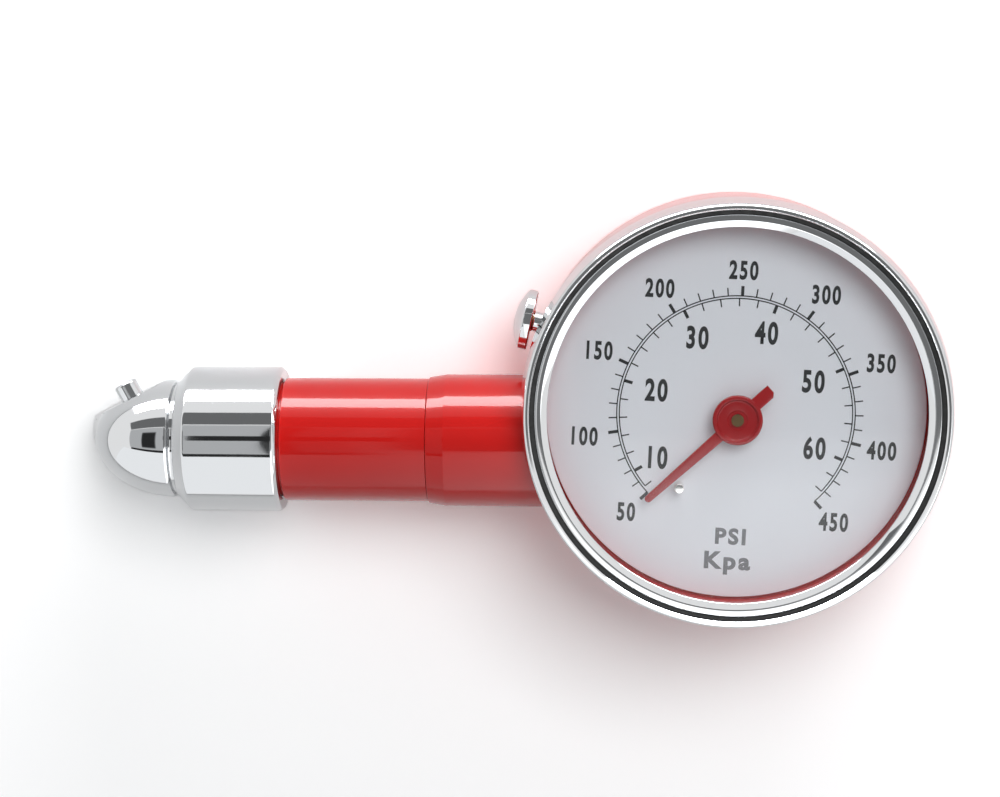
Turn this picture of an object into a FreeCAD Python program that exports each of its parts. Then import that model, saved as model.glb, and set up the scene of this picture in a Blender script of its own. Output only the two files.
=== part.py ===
import FreeCAD, Part
import math
import os
import re
import Sketcher

# Dial tyre pressure gauge, lying on its back, in millimetres.
# Origin: the middle of the flat back of the case. +Z: out of the dial. -X: along the handle to the chuck.

doc = FreeCAD.newDocument("tyre_pressure_gauge")
sheet = doc.addObject("Spreadsheet::Sheet", "Sizes")

SIZES = {
    # case and window
    "case_radius": 30.9,
    "rim_step": 0.5,
    "bezel_wall": 1.0,
    "bezel_fit": 0.1,
    "bezel_top": 29.0,
    "bezel_foot": 23.2,
    "crown_draft": 0.6,
    "bead_round": 0.8,
    "bead_width": 1.2,
    "step_width": 0.9,
    "band_width": 1.0,
    "lip_width": 0.4,
    "band_drop": 0.8,
    "lip_drop": 1.25,
    "lip_underside": 27.1,
    "case_round": 3.0,
    "rim_wall": 2.9,
    "ledge_width": 1.0,
    "back_wall": 2.5,
    "lens_thickness": 1.5,
    "lens_rise": 0.9,
    "lens_fit": 0.3,
    "dome_gap": 0.2,
    "gasket_thickness": 0.8,
    "gasket_inset": 0.3,
    "dial_top": 22.0,
    "dial_thickness": 0.8,
    "dial_fit": 0.3,
    "dial_hole": 2.0,
    # handle line, from the case to the chuck
    "handle_across": -6.0,
    "handle_height": 13.0,
    "shoulder_reach": 12.1,
    "shoulder_length": 2.6,
    "neck_radius": 9.95,
    "neck_lip": 0.25,
    "tube_length": 22.1,
    "tube_radius": 9.3,
    "tube_spigot": 6.4,
    "spigot_length": 10.0,
    "spigot_fit": 0.05,
    "collar_length": 15.7,
    "collar_radius": 11.0,
    "collar_gap": 0.3,
    "collar_seat": 8.6,
    "collar_taper": 1.9,
    "collar_edge": 0.5,
    "meeting_inset": 8.3,
    "meeting_gap": 0.3,
    "groove_width": 0.7,
    "nose_length": 12.6,
    "nose_radius": 9.0,
    "nose_tip_radius": 7.0,
    "nose_cone": 25.0,
    "nose_groove": 8.2,
    "nose_neck_edge": 0.5,
    "air_radius": 1.5,
    # mouth of the chuck
    "mouth_tilt": 15.0,
    "mouth_setback": 6.4,
    "boss_radius": 6.2,
    "boss_reach": 9.3,
    "boss_edge": 0.6,
    "mouth_radius": 4.0,
    "mouth_clear": 5.0,
    "seal_radius": 4.6,
    "seal_hole": 2.0,
    "seal_thickness": 1.5,
    "seal_fit": 0.1,
    "chamber_radius": 3.2,
    "chamber_depth": 2.0,
    "depressor_radius": 0.8,
    "depressor_foot": 3.1,
    "depressor_disc": 0.9,
    "depressor_reach": 0.2,
    "vent_radius": 0.7,
    "vent_place": 1.95,
    # deflator pin on the slanted flat
    "flat_angle": 27.7,
    "flat_setback": 8.7,
    "flat_height": 5.33,
    "deflator_radius": 1.8,
    "deflator_reach": 2.4,
    "deflator_depth": 2.2,
    "deflator_along": 2.12,
    "deflator_edge": 0.3,
    # check valve in the handle
    "valve_bore": 4.5,
    "seat_thickness": 2.0,
    "seat_hole": 1.3,
    "poppet_radius": 2.6,
    "poppet_thickness": 1.2,
    "poppet_gap": 0.05,
    "poppet_stem": 0.8,
    "poppet_travel": 1.0,
    "guide_reach": 10.5,
    "guide_thickness": 1.5,
    "guide_fit": 0.06,
    "guide_vent": 0.9,
    "guide_vent_place": 2.9,
    "check_coil": 1.7,
    "check_wire": 0.22,
    "coil_gap": 0.08,
    "check_turns": 5.0,
    # inlet tube
    "inlet_reach": 14.5,
    "inlet_inset": 2.5,
    "inlet_radius": 2.0,
    "inlet_bore": 1.2,
    "passage_fit": 0.3,
    "ring_wire": 0.45,
    "ring_play": 0.03,
    "ring_seat": 0.4,
    "ring_inset": 1.3,
    "ring_setback": 2.25,
    "ring_groove": 0.675,
}

SIZES.update({
    # release valve on the case wall
    "release_polar": 22.064,
    "release_stand": 1.578,
    "release_angle": -12.8,
    "button_radius": 4.55,
    "button_rim": 1.3,
    "button_dome": 1.5,
    "button_travel": 0.9,
    "stem_radius": 1.5,
    "stem_fit": 0.06,
    "stem_length": 3.5,
    "stem_flange": 1.8,
    "flange_thickness": 0.8,
    "rod_radius": 0.8,
    "plug_radius": 1.8,
    "plug_thickness": 0.8,
    "plug_gap": 0.05,
    "nose_of_valve": 1.9,
    "valve_neck": 2.4,
    "wall_hole_fit": 0.1,
    "valve_shoulder": 6.9,
    "valve_flange": 3.0,
    "valve_flange_end": 8.1,
    "valve_spigot": 2.6,
    "valve_end": 12.5,
    "spring_bore": 1.95,
    "spring_floor": 10.0,
    "orifice_radius": 1.2,
    "release_coil": 1.4,
    "release_wire": 0.2,
    "release_turns": 6.0,
    "relief_radius": 2.2,
    "relief_room": 0.85,
    # socket block
    "block_clear": 5.5,
    "block_depth": 7.5,
    "block_low": -9.5,
    "block_high": 15.6,
    "block_top": 17.0,
    "block_corner": 1.0,
    "tongue_right": 6.5,
    "tongue_low": -14.5,
    "tongue_high": 6.5,
    "tongue_top": 7.5,
    # Bourdon tube
    "bourdon_clear": 3.5,
    "bourdon_wall": 0.25,
    "bourdon_thick": 1.7,
    "bourdon_tall": 7.0,
    "bourdon_middle": 13.0,
    "root_angle": 141.0,
    "root_depth": 4.0,
    "root_play": 0.2,
    "tip_angle": 230.0,
    "cap_gap": 0.1,
    "cap_length": 3.0,
    "cap_thick": 2.4,
    "cap_tall": 7.4,
    "lug_width": 2.52,
    "lug_thick": 1.1,
    "lug_top": 13.8,
    "lug_eye": 1.8,
    "open_hole": 1.0,
    # movement
    "hub_x": 0.2,
    "hub_y": -0.9,
    "gear_module": 0.3,
    "pinion_teeth": 12.0,
    "sector_teeth": 72.0,
    "sector_count": 12.0,
    "lead_teeth": 1.0,
    "rim_margin": 0.7,
    "line_angle": 240.0,
    "pointer_sweep": 270.0,
    "tooth_width": 0.36,
    "tooth_tip": 0.17,
    "tooth_head": 0.21,
    "tooth_foot": 0.36,
    "tooth_sink": 0.05,
    "sector_low": 12.5,
    "sector_thick": 1.2,
    "sector_rim": 1.6,
    "sector_hub": 2.0,
    "spoke_width": 1.6,
    "spoke_inset": 3.0,
    "pinion_low": 11.6,
    "pinion_tall": 3.0,
    "arbor_radius": 0.9,
    "pivot_radius": 0.6,
    "pivot_fit": 0.05,
    "pivot_length": 0.9,
    "plate_thick": 1.0,
    "plate_gap": 8.0,
    "plate_left": -11.0,
    "plate_corner": 1.5,
    "pillar_radius": 1.3,
    "pillar_ax": -8.5,
    "pillar_ay": 4.0,
    "pillar_bx": 4.6,
    "pillar_by": -12.6,
    "stud_radius": 0.8,
    "stud_length": 4.0,
    "screw_radius": 0.7,
    "screw_head": 1.8,
    "screw_head_tall": 1.1,
    "screw_length": 4.5,
    "slot_width": 0.4,
    "slot_depth": 0.45,
    "tail_arm": 4.46,
    "tail_angle": 217.5,
    "link_length": 5.0,
    "link_width": 1.5,
    "link_eye": 1.05,
    "link_head": 0.3,
    "sector_eye": 1.2,
    "link_thick": 0.6,
    "link_gap": 0.15,
    "link_pin": 0.5,
    "pin_fit": 0.05,
    "arbor_top": 25.0,
    "collet_radius": 1.3,
    "collet_low": 9.2,
    "collet_tall": 1.0,
    "hair_start": 1.45,
    "hair_pitch": 0.75,
    "hair_turns": 5.0,
    "hair_thick": 0.12,
    "hair_tall": 0.7,
    "hair_stud": 0.45,
    # pointer and stop pin
    "pointer_low": 24.0,
    "pointer_angle": 222.2,
    "pointer_length": 17.9,
    "pointer_root_width": 1.65,
    "pointer_tip_width": 1.05,
    "pointer_tip_round": 0.575,
    "tail_length": 6.6,
    "tail_width": 1.9,
    "arm_thick": 0.6,
    "hub_radius": 3.65,
    "hub_tall": 1.1,
    "hub_rim": 0.55,
    "hub_dish": 0.45,
    "hub_boss": 1.5,
    "boss_drop": 1.3,
    "stop_x": -8.2,
    "stop_y": -11.05,
    "stop_radius": 0.65,
    "stop_tall": 2.7,
    "stop_shank": 0.5,
    # screws through the back of the case
    "back_screw": 1.1,
    "back_screw_fit": 0.1,
    "back_head": 2.1,
    "back_head_tall": 1.2,
    "back_recess": 1.4,
    "back_length": 6.0,
    "back_inset": 4.0,
    "back_ay": 3.0,
    "back_bx": 3.0,
    "back_by": 3.0,
    # how far a cutting form reaches past the face that it cuts
    "overshoot": 1.0,
})

# Sizes and places that follow from others, each from names above it
DERIVED = {
    "bezel_radius": "case_radius - rim_step + bezel_fit + bezel_wall",
    "bezel_crown": "bezel_radius - crown_draft",
    "bead_inner": "bezel_crown - bead_width",
    "band_radius": "bead_inner - step_width",
    "band_inner": "band_radius - band_width",
    "lip_radius": "band_inner - lip_width",
    "dome_radius": "lip_radius - dome_gap",
    "case_bore": "case_radius - rim_wall",
    "case_ledge": "case_bore - ledge_width",
    "gasket_inner": "case_bore + gasket_inset",
    "bourdon_radius": "case_ledge - bourdon_clear",
    "block_left": "-(case_ledge - block_clear)",
    "block_right": "block_left + block_depth",
    "back_ax": "block_left + back_inset",
    "release_x": "-(case_radius + release_stand) * cos(release_polar)",
    "release_y": "(case_radius + release_stand) * sin(release_polar)",
    "neck_shoulder": "-(case_radius + shoulder_reach)",
    "neck_end": "neck_shoulder - shoulder_length",
    "collar_end": "neck_end - tube_length",
    "collar_start": "collar_end - collar_length",
    "nose_base": "collar_start - groove_width",
    "mouth_place": "nose_base - mouth_setback",
    "flat_place": "nose_base - flat_setback",
    "meeting_plane": "collar_end - meeting_inset",
    "guide_place": "meeting_plane + guide_reach",
    "inlet_start": "meeting_plane + inlet_reach",
    "inlet_end": "block_left + inlet_inset",
    "ring_place": "inlet_start + ring_inset",
}

for row, (alias, content) in enumerate([*SIZES.items(), *DERIVED.items()], start=1):
    sheet.set("A%d" % row, alias)
    sheet.set("B%d" % row, "=" + content if alias in DERIVED else str(content))
    sheet.setAlias("B%d" % row, alias)
    if alias in DERIVED:
        doc.recompute()
doc.recompute()


def linked(text):
    """Turn size names into references to the sheet."""
    def reference(word):
        name = word.group(0)
        return "Sizes." + name if name in SIZES or name in DERIVED else name

    return re.sub(r"[a-z][a-z_]+", reference, text)


def value(text):
    """The present number of an expression of size names."""
    return float(sheet.evalExpression(linked(text)))


def bind(thing, **paths):
    """Bind properties of an object to expressions of size names."""
    for path, text in paths.items():
        thing.setExpression(path, linked(text))


def place(thing, x="0", y="0", z="0", axis=(0, 0, 1), turn="0"):
    """Put an object at x, y, z, turned about an axis, all bound to the sheet."""
    rotation = FreeCAD.Rotation(FreeCAD.Vector(*axis), value(turn))
    thing.Placement = FreeCAD.Placement(FreeCAD.Vector(0, 0, 0), rotation)
    for name, text in (("x", x), ("y", y), ("z", z)):
        if text != "0":
            thing.setExpression("Placement.Base." + name, linked(text))
    if turn != "0":
        thing.setExpression("Placement.Rotation.Angle", linked(turn))
    return thing


def new_body(label):
    """An empty body with its own label."""
    body = doc.addObject("PartDesign::Body", label)
    body.Label = label
    return body


def sketch_on(body, role, name, lift=None):
    """A sketch on one of the body's own origin planes, lifted along the plane's normal."""
    sketch = body.newObject("Sketcher::SketchObject", name)
    plane = [item for item in body.Origin.OriginFeatures if item.Role == role][0]
    sketch.AttachmentSupport = [(plane, "")]
    sketch.MapMode = "FlatFace"
    if lift:
        sketch.setExpression("AttachmentOffset.Base.z", linked(lift))
    return sketch


def pin_point(sketch, geo, end, text_x, text_y):
    """Tie one end of a piece of geometry to a place given by two expressions."""
    for kind, text, axis in (("DistanceX", text_x, -2), ("DistanceY", text_y, -1)):
        if text == "0":
            sketch.addConstraint(Sketcher.Constraint("PointOnObject", geo, end, axis))
        else:
            number = sketch.addConstraint(Sketcher.Constraint(kind, -1, 1, geo, end, value(text)))
            sketch.setExpression("Constraints[%d]" % number, linked(text))


def outline(sketch, points, bulges=None):
    """A closed outline through points; bulges gives a side's arc radius and which side it bows to."""
    bulges = bulges or {}
    corners = [FreeCAD.Vector(value(x), value(y), 0) for x, y in points]
    ends = []
    for index, start in enumerate(corners):
        stop = corners[(index + 1) % len(corners)]
        if index in bulges:
            radius = value(bulges[index][0])
            chord = stop - start
            sagitta = radius - math.sqrt(radius ** 2 - (chord.Length / 2) ** 2)
            across = FreeCAD.Vector(-chord.y, chord.x, 0).normalize() * sagitta * bulges[index][1]
            geo = sketch.addGeometry(Part.Arc(start, (start + stop) / 2 + across, stop), False)
            first = 1 if sketch.getPoint(geo, 1).distanceToPoint(start) < sketch.getPoint(
                geo, 2).distanceToPoint(start) else 2
            ends.append((geo, first, 3 - first))
        else:
            geo = sketch.addGeometry(Part.LineSegment(start, stop), False)
            ends.append((geo, 1, 2))
    for index, (geo, first, last) in enumerate(ends):
        following = ends[(index + 1) % len(ends)]
        sketch.addConstraint(Sketcher.Constraint("Coincident", geo, last, following[0], following[1]))
        pin_point(sketch, geo, first, *points[index])
        if index in bulges:
            number = sketch.addConstraint(Sketcher.Constraint("Radius", geo, value(bulges[index][0])))
            sketch.setExpression("Constraints[%d]" % number, linked(bulges[index][0]))
    return sketch


def ring(sketch, x, y, radius):
    """A circle at x, y."""
    geo = sketch.addGeometry(Part.Circle(FreeCAD.Vector(value(x), value(y), 0), FreeCAD.Vector(0, 0, 1),
                                         value(radius)), False)
    pin_point(sketch, geo, 3, x, y)
    number = sketch.addConstraint(Sketcher.Constraint("Radius", geo, value(radius)))
    sketch.setExpression("Constraints[%d]" % number, linked(radius))
    return sketch


def lathe(label, points, bulges=None, along_x=False):
    """A turned body. Points are radius, height about Z, or place, radius about X."""
    body = new_body(label)
    sketch = outline(sketch_on(body, "XZ_Plane", label + "_profile"), points, bulges)
    turned = body.newObject("PartDesign::Revolution", label + "_turned")
    turned.Profile = sketch
    turned.ReferenceAxis = (sketch, ["H_Axis" if along_x else "V_Axis"])
    turned.Angle = 360.0
    return body


def on_handle(label, points, bulges=None):
    """A turned body on the axis of the handle. Points are place along X, radius."""
    return place(lathe(label, points, bulges, along_x=True), y="handle_across", z="handle_height")


def slab(label, draw, low, thick):
    """A flat body: draw fills the sketch, low is its lower face, thick its thickness."""
    body = new_body(label)
    sketch = draw(sketch_on(body, "XY_Plane", label + "_outline", lift=low))
    pad = body.newObject("PartDesign::Pad", label + "_pad")
    pad.Profile = sketch
    pad.setExpression("Length", linked(thick))
    return body


def pad_on(body, name, draw, low, thick):
    """One more flat layer on a body."""
    sketch = draw(sketch_on(body, "XY_Plane", name + "_outline", lift=low))
    pad = body.newObject("PartDesign::Pad", name)
    pad.Profile = sketch
    pad.setExpression("Length", linked(thick))
    return pad


def rod(label, radius, length, **where):
    """A plain cylinder used to build or to cut."""
    cylinder = doc.addObject("Part::Cylinder", label)
    cylinder.Label = label
    bind(cylinder, Radius=radius, Height=length)
    return place(cylinder, **where)


def block(label, length, width, height, **where):
    """A plain box used to build or to cut."""
    box = doc.addObject("Part::Box", label)
    box.Label = label
    bind(box, Length=length, Width=width, Height=height)
    return place(box, **where)


def joined(label, first, *others):
    """One solid out of several."""
    whole = doc.addObject("Part::MultiFuse", label)
    whole.Label = label
    whole.Shapes = [first, *others]
    whole.Refine = True
    return whole


def minus(label, base, *tools):
    """A base with every tool cut out of it."""
    for number, tool in enumerate(tools):
        last = number == len(tools) - 1
        cut = doc.addObject("Part::Cut", label if last else "%s_cut_%d" % (label, number + 1))
        cut.Base = base
        cut.Tool = tool
        base = cut
    base.Label = label
    return base


def group(label, *members):
    """Several separate solids that share one node."""
    compound = doc.addObject("Part::Compound", label)
    compound.Label = label
    compound.Links = list(members)
    return compound


nodes = []


def keep(part):
    """Hand a finished sub-part to the list that is written out."""
    nodes.append(part)
    return part

# Case, bezel and window

RIM_RADIUS = "(bezel_radius - bezel_wall - bezel_fit)"
BEZEL_BORE = "(bezel_radius - bezel_wall)"
LENS_RADIUS = "(bezel_radius - bezel_wall - lens_fit)"
LENS_SEAT = "(lip_underside - lens_thickness)"
RIM_TOP = "(lip_underside - lens_thickness - gasket_thickness)"
DIAL_UNDER = "(dial_top - dial_thickness)"


def make_bezel():
    """Chrome ring: rolled bead, steep step, flat band and a lip that holds the lens."""
    return keep(lathe("bezel", [
        (BEZEL_BORE, "bezel_foot"),
        ("bezel_radius", "bezel_foot"),
        ("bezel_crown", "bezel_top - bead_round"),
        ("bezel_crown - bead_round", "bezel_top"),
        ("bead_inner", "bezel_top"),
        ("band_radius", "bezel_top - band_drop"),
        ("band_inner", "bezel_top - band_drop"),
        ("lip_radius", "bezel_top - lip_drop"),
        ("lip_radius", "lip_underside"),
        (BEZEL_BORE, "lip_underside"),
    ], {2: ("bead_round", -1)}))


def make_lens():
    """Clear window, domed a little, with a flat edge under the lip of the bezel."""
    curve = "((dome_radius * dome_radius + lens_rise * lens_rise) / (2 * lens_rise))"
    return keep(lathe("lens", [
        ("0", LENS_SEAT + " + lens_rise"),
        ("dome_radius", LENS_SEAT),
        (LENS_RADIUS, LENS_SEAT),
        (LENS_RADIUS, "lip_underside"),
        ("dome_radius", "lip_underside"),
        ("0", "lip_underside + lens_rise"),
    ], {0: (curve, 1), 4: (curve, -1)}))


def make_gasket():
    """Flat rubber ring between the rim of the case and the lens."""
    return keep(lathe("lens_gasket", [
        ("gasket_inner", RIM_TOP), (LENS_RADIUS, RIM_TOP), (LENS_RADIUS, LENS_SEAT),
        ("gasket_inner", LENS_SEAT)]))


def on_release_line(thing):
    """Put a piece on the release valve's line, its Z pointing out of the case."""
    across = FreeCAD.Rotation(FreeCAD.Vector(0, 0, 1), FreeCAD.Vector(
        -math.cos(math.radians(value("release_angle"))), -math.sin(math.radians(value("release_angle"))), 0))
    thing.Placement = FreeCAD.Placement(FreeCAD.Vector(0, 0, 0), across)
    for name, text in (("x", "release_x"), ("y", "release_y"), ("z", "handle_height")):
        thing.setExpression("Placement.Base." + name, linked(text))
    return thing


def release_bore(label, radius, start, stop):
    """A straight cutter on the release valve's line, between two depths below the button's head."""
    return on_release_line(lathe(label, [("0", "-(%s)" % stop), (radius, "-(%s)" % stop),
                                         (radius, "-(%s)" % start), ("0", "-(%s)" % start)]))


def handle_bore(label, radius, start, stop):
    """A straight cutter on the axis of the handle."""
    return on_handle(label, [(start, "0"), (start, radius), (stop, radius), (stop, "0")])


BACK_SCREWS = (("back_ax", "back_ay"), ("back_bx", "back_by"))


def make_case():
    """Red painted cup with the handle's neck, a ledge for the dial and a rim for the gasket."""
    cup = lathe("case_cup_form", [
        ("0", "0"), ("case_radius - case_round", "0"), ("case_radius", "case_round"),
        ("case_radius", "bezel_foot"),
        (RIM_RADIUS, "bezel_foot"), (RIM_RADIUS, RIM_TOP), ("0", RIM_TOP)], {1: ("case_round", -1)})
    neck = on_handle("case_neck_form", [
        ("neck_end", "0"), ("neck_end", "tube_radius + neck_lip"), ("neck_shoulder", "neck_radius"),
        ("-case_ledge", "neck_radius"), ("-case_ledge", "0")])
    hollow = lathe("case_hollow_form", [
        ("0", "back_wall"), ("case_ledge", "back_wall"), ("case_ledge", DIAL_UNDER),
        ("case_bore", DIAL_UNDER),
        ("case_bore", RIM_TOP + " + overshoot"), ("0", RIM_TOP + " + overshoot")])
    socket = handle_bore("case_socket_form", "tube_spigot + spigot_fit", "neck_end - overshoot",
                         "neck_end + spigot_length + spigot_fit")
    passage = handle_bore("case_passage_form", "inlet_radius + passage_fit", "neck_end", "block_left")
    wall_hole = release_bore("case_wall_hole_form", "valve_neck + wall_hole_fit", "0",
                             "valve_shoulder + overshoot")
    cutters = [hollow, socket, passage, wall_hole]
    for number, (x, y) in enumerate(BACK_SCREWS, start=1):
        cutters.append(rod("back_hole_form_%d" % number, "back_screw + back_screw_fit",
                           "back_wall + overshoot * 2", x=x, y=y, z="-overshoot"))
        cutters.append(rod("back_recess_form_%d" % number, "back_head + back_screw_fit",
                           "back_recess + overshoot", x=x, y=y, z="-overshoot"))
    return keep(minus("rear_case", joined("case_solid_form", cup, neck), *cutters))


def make_back_screws():
    """Two cheese-head screws that hold the socket block to the back of the case."""
    screws = []
    for number, (x, y) in enumerate(BACK_SCREWS, start=1):
        form = lathe("back_screw_form_%d" % number, [
            ("0", "back_recess - back_head_tall"), ("back_head", "back_recess - back_head_tall"),
            ("back_head", "back_recess"), ("back_screw", "back_recess"), ("back_screw", "back_length"),
            ("0", "back_length")])
        place(form, x=x, y=y)
        slot = block("back_slot_form_%d" % number, "(back_head + overshoot) * 2", "slot_width",
                     "slot_depth + overshoot", x=x + " - back_head - overshoot", y=y + " - slot_width / 2",
                     z="back_recess - back_head_tall - overshoot")
        screws.append(minus("back_screw_%d" % number, form, slot))
    return keep(group("case_screws", *screws))


# Handle, collar and chuck head

def make_handle_tube():
    """Red tube: a spigot in the neck, a spigot in the collar and the check valve's bore."""
    meeting = "meeting_plane + meeting_gap"
    return keep(on_handle("handle_tube", [
        (meeting, "valve_bore"), (meeting, "collar_seat"),
        ("collar_end - collar_gap - collar_edge", "collar_seat"), ("collar_end + collar_gap", "collar_seat"),
        ("collar_end + collar_gap", "tube_radius"),
        ("neck_end - spigot_fit", "tube_radius"), ("neck_end - spigot_fit", "tube_spigot"),
        ("neck_end + spigot_length - spigot_fit", "tube_spigot"),
        ("neck_end + spigot_length - spigot_fit", "inlet_radius + passage_fit"),
        ("ring_place + ring_wire * 2", "inlet_radius + passage_fit"),
        ("ring_place + ring_wire * 2", "inlet_radius + ring_wire * 2 + ring_play * 2"),
        ("inlet_start", "inlet_radius + ring_wire * 2 + ring_play * 2"),
        ("inlet_start", "valve_bore"),
    ]))


def make_collar():
    """Chrome sleeve with a tapered left shoulder and a small chamfer inside its right end."""
    bore = "collar_seat + spigot_fit"
    return keep(on_handle("collar", [
        ("collar_start", bore), ("collar_start", "collar_radius - collar_taper"),
        ("collar_start + collar_taper", "collar_radius"), ("collar_end - collar_edge", "collar_radius"),
        ("collar_end", "collar_radius - collar_edge"), ("collar_end", bore + " + collar_edge"),
        ("collar_end - collar_edge", bore)]))


def make_collar_ring():
    """Rubber ring in the groove of the chuck head's spigot."""
    middle = "(collar_seat - ring_wire)"
    return keep(turned_ring("collar_o_ring", "(meeting_plane - ring_setback)", middle))


def turned_ring(label, along, radius):
    """A round rubber ring about the handle's axis, an eight-sided section."""
    low = "%s - %s" % (radius, "ring_wire")
    high = "%s + %s" % (radius, "ring_wire")
    small = "ring_wire * ring_seat"
    return on_handle(label, [
        (along + " - " + small, low), (along + " + " + small, low),
        (along + " + ring_wire", radius + " - " + small), (along + " + ring_wire", radius + " + " + small),
        (along + " + " + small, high), (along + " - " + small, high),
        (along + " - ring_wire", radius + " + " + small), (along + " - ring_wire", radius + " - " + small)])


def mouth_piece(thing):
    """Put a piece on the mouth's axis, its Z pointing out of the mouth."""
    return place(thing, x="mouth_place", y="handle_across", z="handle_height", axis=(0, 1, 0),
                 turn="180 + mouth_tilt")


SEAL_TOP = "(boss_reach - mouth_clear)"
SEAL_LOW = "(boss_reach - mouth_clear - seal_thickness)"
CHAMBER_LOW = "(boss_reach - mouth_clear - seal_thickness - chamber_depth)"


def make_chuck_head():
    """Chrome bullet nose with a slanted flat, the mouth's boss underneath and its spigot in the collar."""
    tip_middle = "(nose_base - nose_length + nose_tip_radius)"
    cone_start = ("(%s - (nose_tip_radius - nose_radius * cos(nose_cone)) / sin(nose_cone))" % tip_middle)
    ring_middle = "(meeting_plane - ring_setback)"
    nose = on_handle("nose_form", [
        ("nose_base - nose_length", "0"),
        ("%s - nose_tip_radius * sin(nose_cone)" % tip_middle, "nose_tip_radius * cos(nose_cone)"),
        (cone_start, "nose_radius"),
        ("nose_base - nose_neck_edge", "nose_radius"), ("nose_base", "nose_radius - nose_neck_edge"),
        ("nose_base", "nose_groove"), ("collar_start", "nose_groove"), ("collar_start", "collar_seat"),
        (ring_middle + " - ring_groove", "collar_seat"),
        (ring_middle + " - ring_groove", "collar_seat - ring_wire * 2 - ring_play"),
        (ring_middle + " + ring_groove", "collar_seat - ring_wire * 2 - ring_play"),
        (ring_middle + " + ring_groove", "collar_seat"),
        ("meeting_plane", "collar_seat"), ("meeting_plane", "0"),
    ], {0: ("nose_tip_radius", 1)})
    boss = mouth_piece(lathe("mouth_boss_form", [
        ("0", "0"), ("boss_radius", "0"), ("boss_radius", "boss_reach - boss_edge"),
        ("boss_radius - boss_edge", "boss_reach"), ("0", "boss_reach")]))
    flat = block("deflator_flat_form", "nose_length + nose_radius * 2", "nose_radius",
                 "(nose_radius + overshoot) * 2",
                 x="flat_place - nose_radius * cos(flat_angle)",
                 y="handle_across + flat_height - nose_radius * sin(flat_angle)",
                 z="handle_height - nose_radius - overshoot", turn="flat_angle")
    mouth = mouth_piece(lathe("mouth_hollow_form", [
        ("0", CHAMBER_LOW), ("chamber_radius", CHAMBER_LOW), ("chamber_radius", SEAL_LOW),
        ("seal_radius + seal_fit", SEAL_LOW), ("seal_radius + seal_fit", SEAL_TOP + " + seal_fit"),
        ("mouth_radius", SEAL_TOP + " + seal_fit"), ("mouth_radius", "boss_reach - boss_edge"),
        ("mouth_radius + boss_edge * 2", "boss_reach + boss_edge"), ("0", "boss_reach + boss_edge")]))
    air = handle_bore("head_air_form", "air_radius", "mouth_place", "meeting_plane + overshoot")
    hole = deflator_line(rod("deflator_hole_form", "deflator_radius + spigot_fit",
                             "deflator_depth + overshoot"),
                         "-deflator_depth")
    return keep(minus("chuck_head", joined("chuck_solid_form", nose, boss), flat, mouth, air, hole))


def deflator_line(thing, depth):
    """Stand a piece on the slanted flat, square to it, from a depth measured outwards."""
    thing.Placement = FreeCAD.Placement(FreeCAD.Vector(0, 0, 0), FreeCAD.Rotation(
        FreeCAD.Vector(0, 0, 1), FreeCAD.Vector(-math.sin(math.radians(value("flat_angle"))),
                                                math.cos(math.radians(value("flat_angle"))), 0)))
    x = "flat_place + deflator_along * cos(flat_angle) - (%s) * sin(flat_angle)" % depth
    y = "flat_height + deflator_along * sin(flat_angle) + (%s) * cos(flat_angle)" % depth
    bind(thing, **{"Placement.Base.x": x, "Placement.Base.y": "handle_across + " + y,
                   "Placement.Base.z": "handle_height"})
    return thing


def make_deflator():
    """Small chrome stub that presses a tyre valve's core to let air out."""
    pin = lathe("deflator_pin", [
        ("0", "0"), ("deflator_radius", "0"),
        ("deflator_radius", "deflator_depth + deflator_reach - deflator_edge"),
        ("deflator_radius - deflator_edge", "deflator_depth + deflator_reach"),
        ("0", "deflator_depth + deflator_reach")])
    return keep(deflator_line(pin, "-deflator_depth"))


def make_seal():
    """Rubber washer in the mouth that closes round a tyre valve's stem."""
    return keep(mouth_piece(lathe("chuck_seal", [
        ("seal_hole", SEAL_LOW), ("seal_radius", SEAL_LOW), ("seal_radius", SEAL_TOP),
        ("seal_hole", SEAL_TOP)])))


def make_depressor():
    """Pin on a drilled disc that pushes the tyre valve's core open."""
    form = mouth_piece(lathe("depressor_form", [
        ("0", CHAMBER_LOW), ("depressor_foot", CHAMBER_LOW),
        ("depressor_foot", CHAMBER_LOW + " + depressor_disc"),
        ("depressor_radius", CHAMBER_LOW + " + depressor_disc"),
        ("depressor_radius", SEAL_TOP + " + depressor_reach"),
        ("0", SEAL_TOP + " + depressor_reach")]))
    vents = mouth_piece(slab("depressor_vents_form",
                             lambda sketch: four_rings(sketch, "vent_place", "vent_radius"),
                             CHAMBER_LOW + " - overshoot", "depressor_disc + overshoot * 2"))
    return keep(minus("core_depressor", form, vents))


def four_rings(sketch, place_text, radius):
    """Four circles, evenly spaced about the middle."""
    for x, y in ((place_text, "0"), ("-" + place_text, "0"), ("0", place_text), ("0", "-" + place_text)):
        ring(sketch, x, y, radius)
    return sketch


# Check valve and inlet tube in the handle

VALVE_START = "(meeting_plane + meeting_gap)"
SEAT_FACE = "(meeting_plane + meeting_gap + seat_thickness)"
POPPET_START = "(meeting_plane + meeting_gap + seat_thickness + poppet_gap)"
POPPET_BACK = "(meeting_plane + meeting_gap + seat_thickness + poppet_gap + poppet_thickness)"


def make_check_seat():
    """Brass ring that the poppet closes on."""
    return keep(on_handle("check_seat", [
        (VALVE_START, "seat_hole"), (VALVE_START, "valve_bore - spigot_fit"),
        (SEAT_FACE, "valve_bore - spigot_fit"), (SEAT_FACE, "seat_hole")]))


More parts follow.
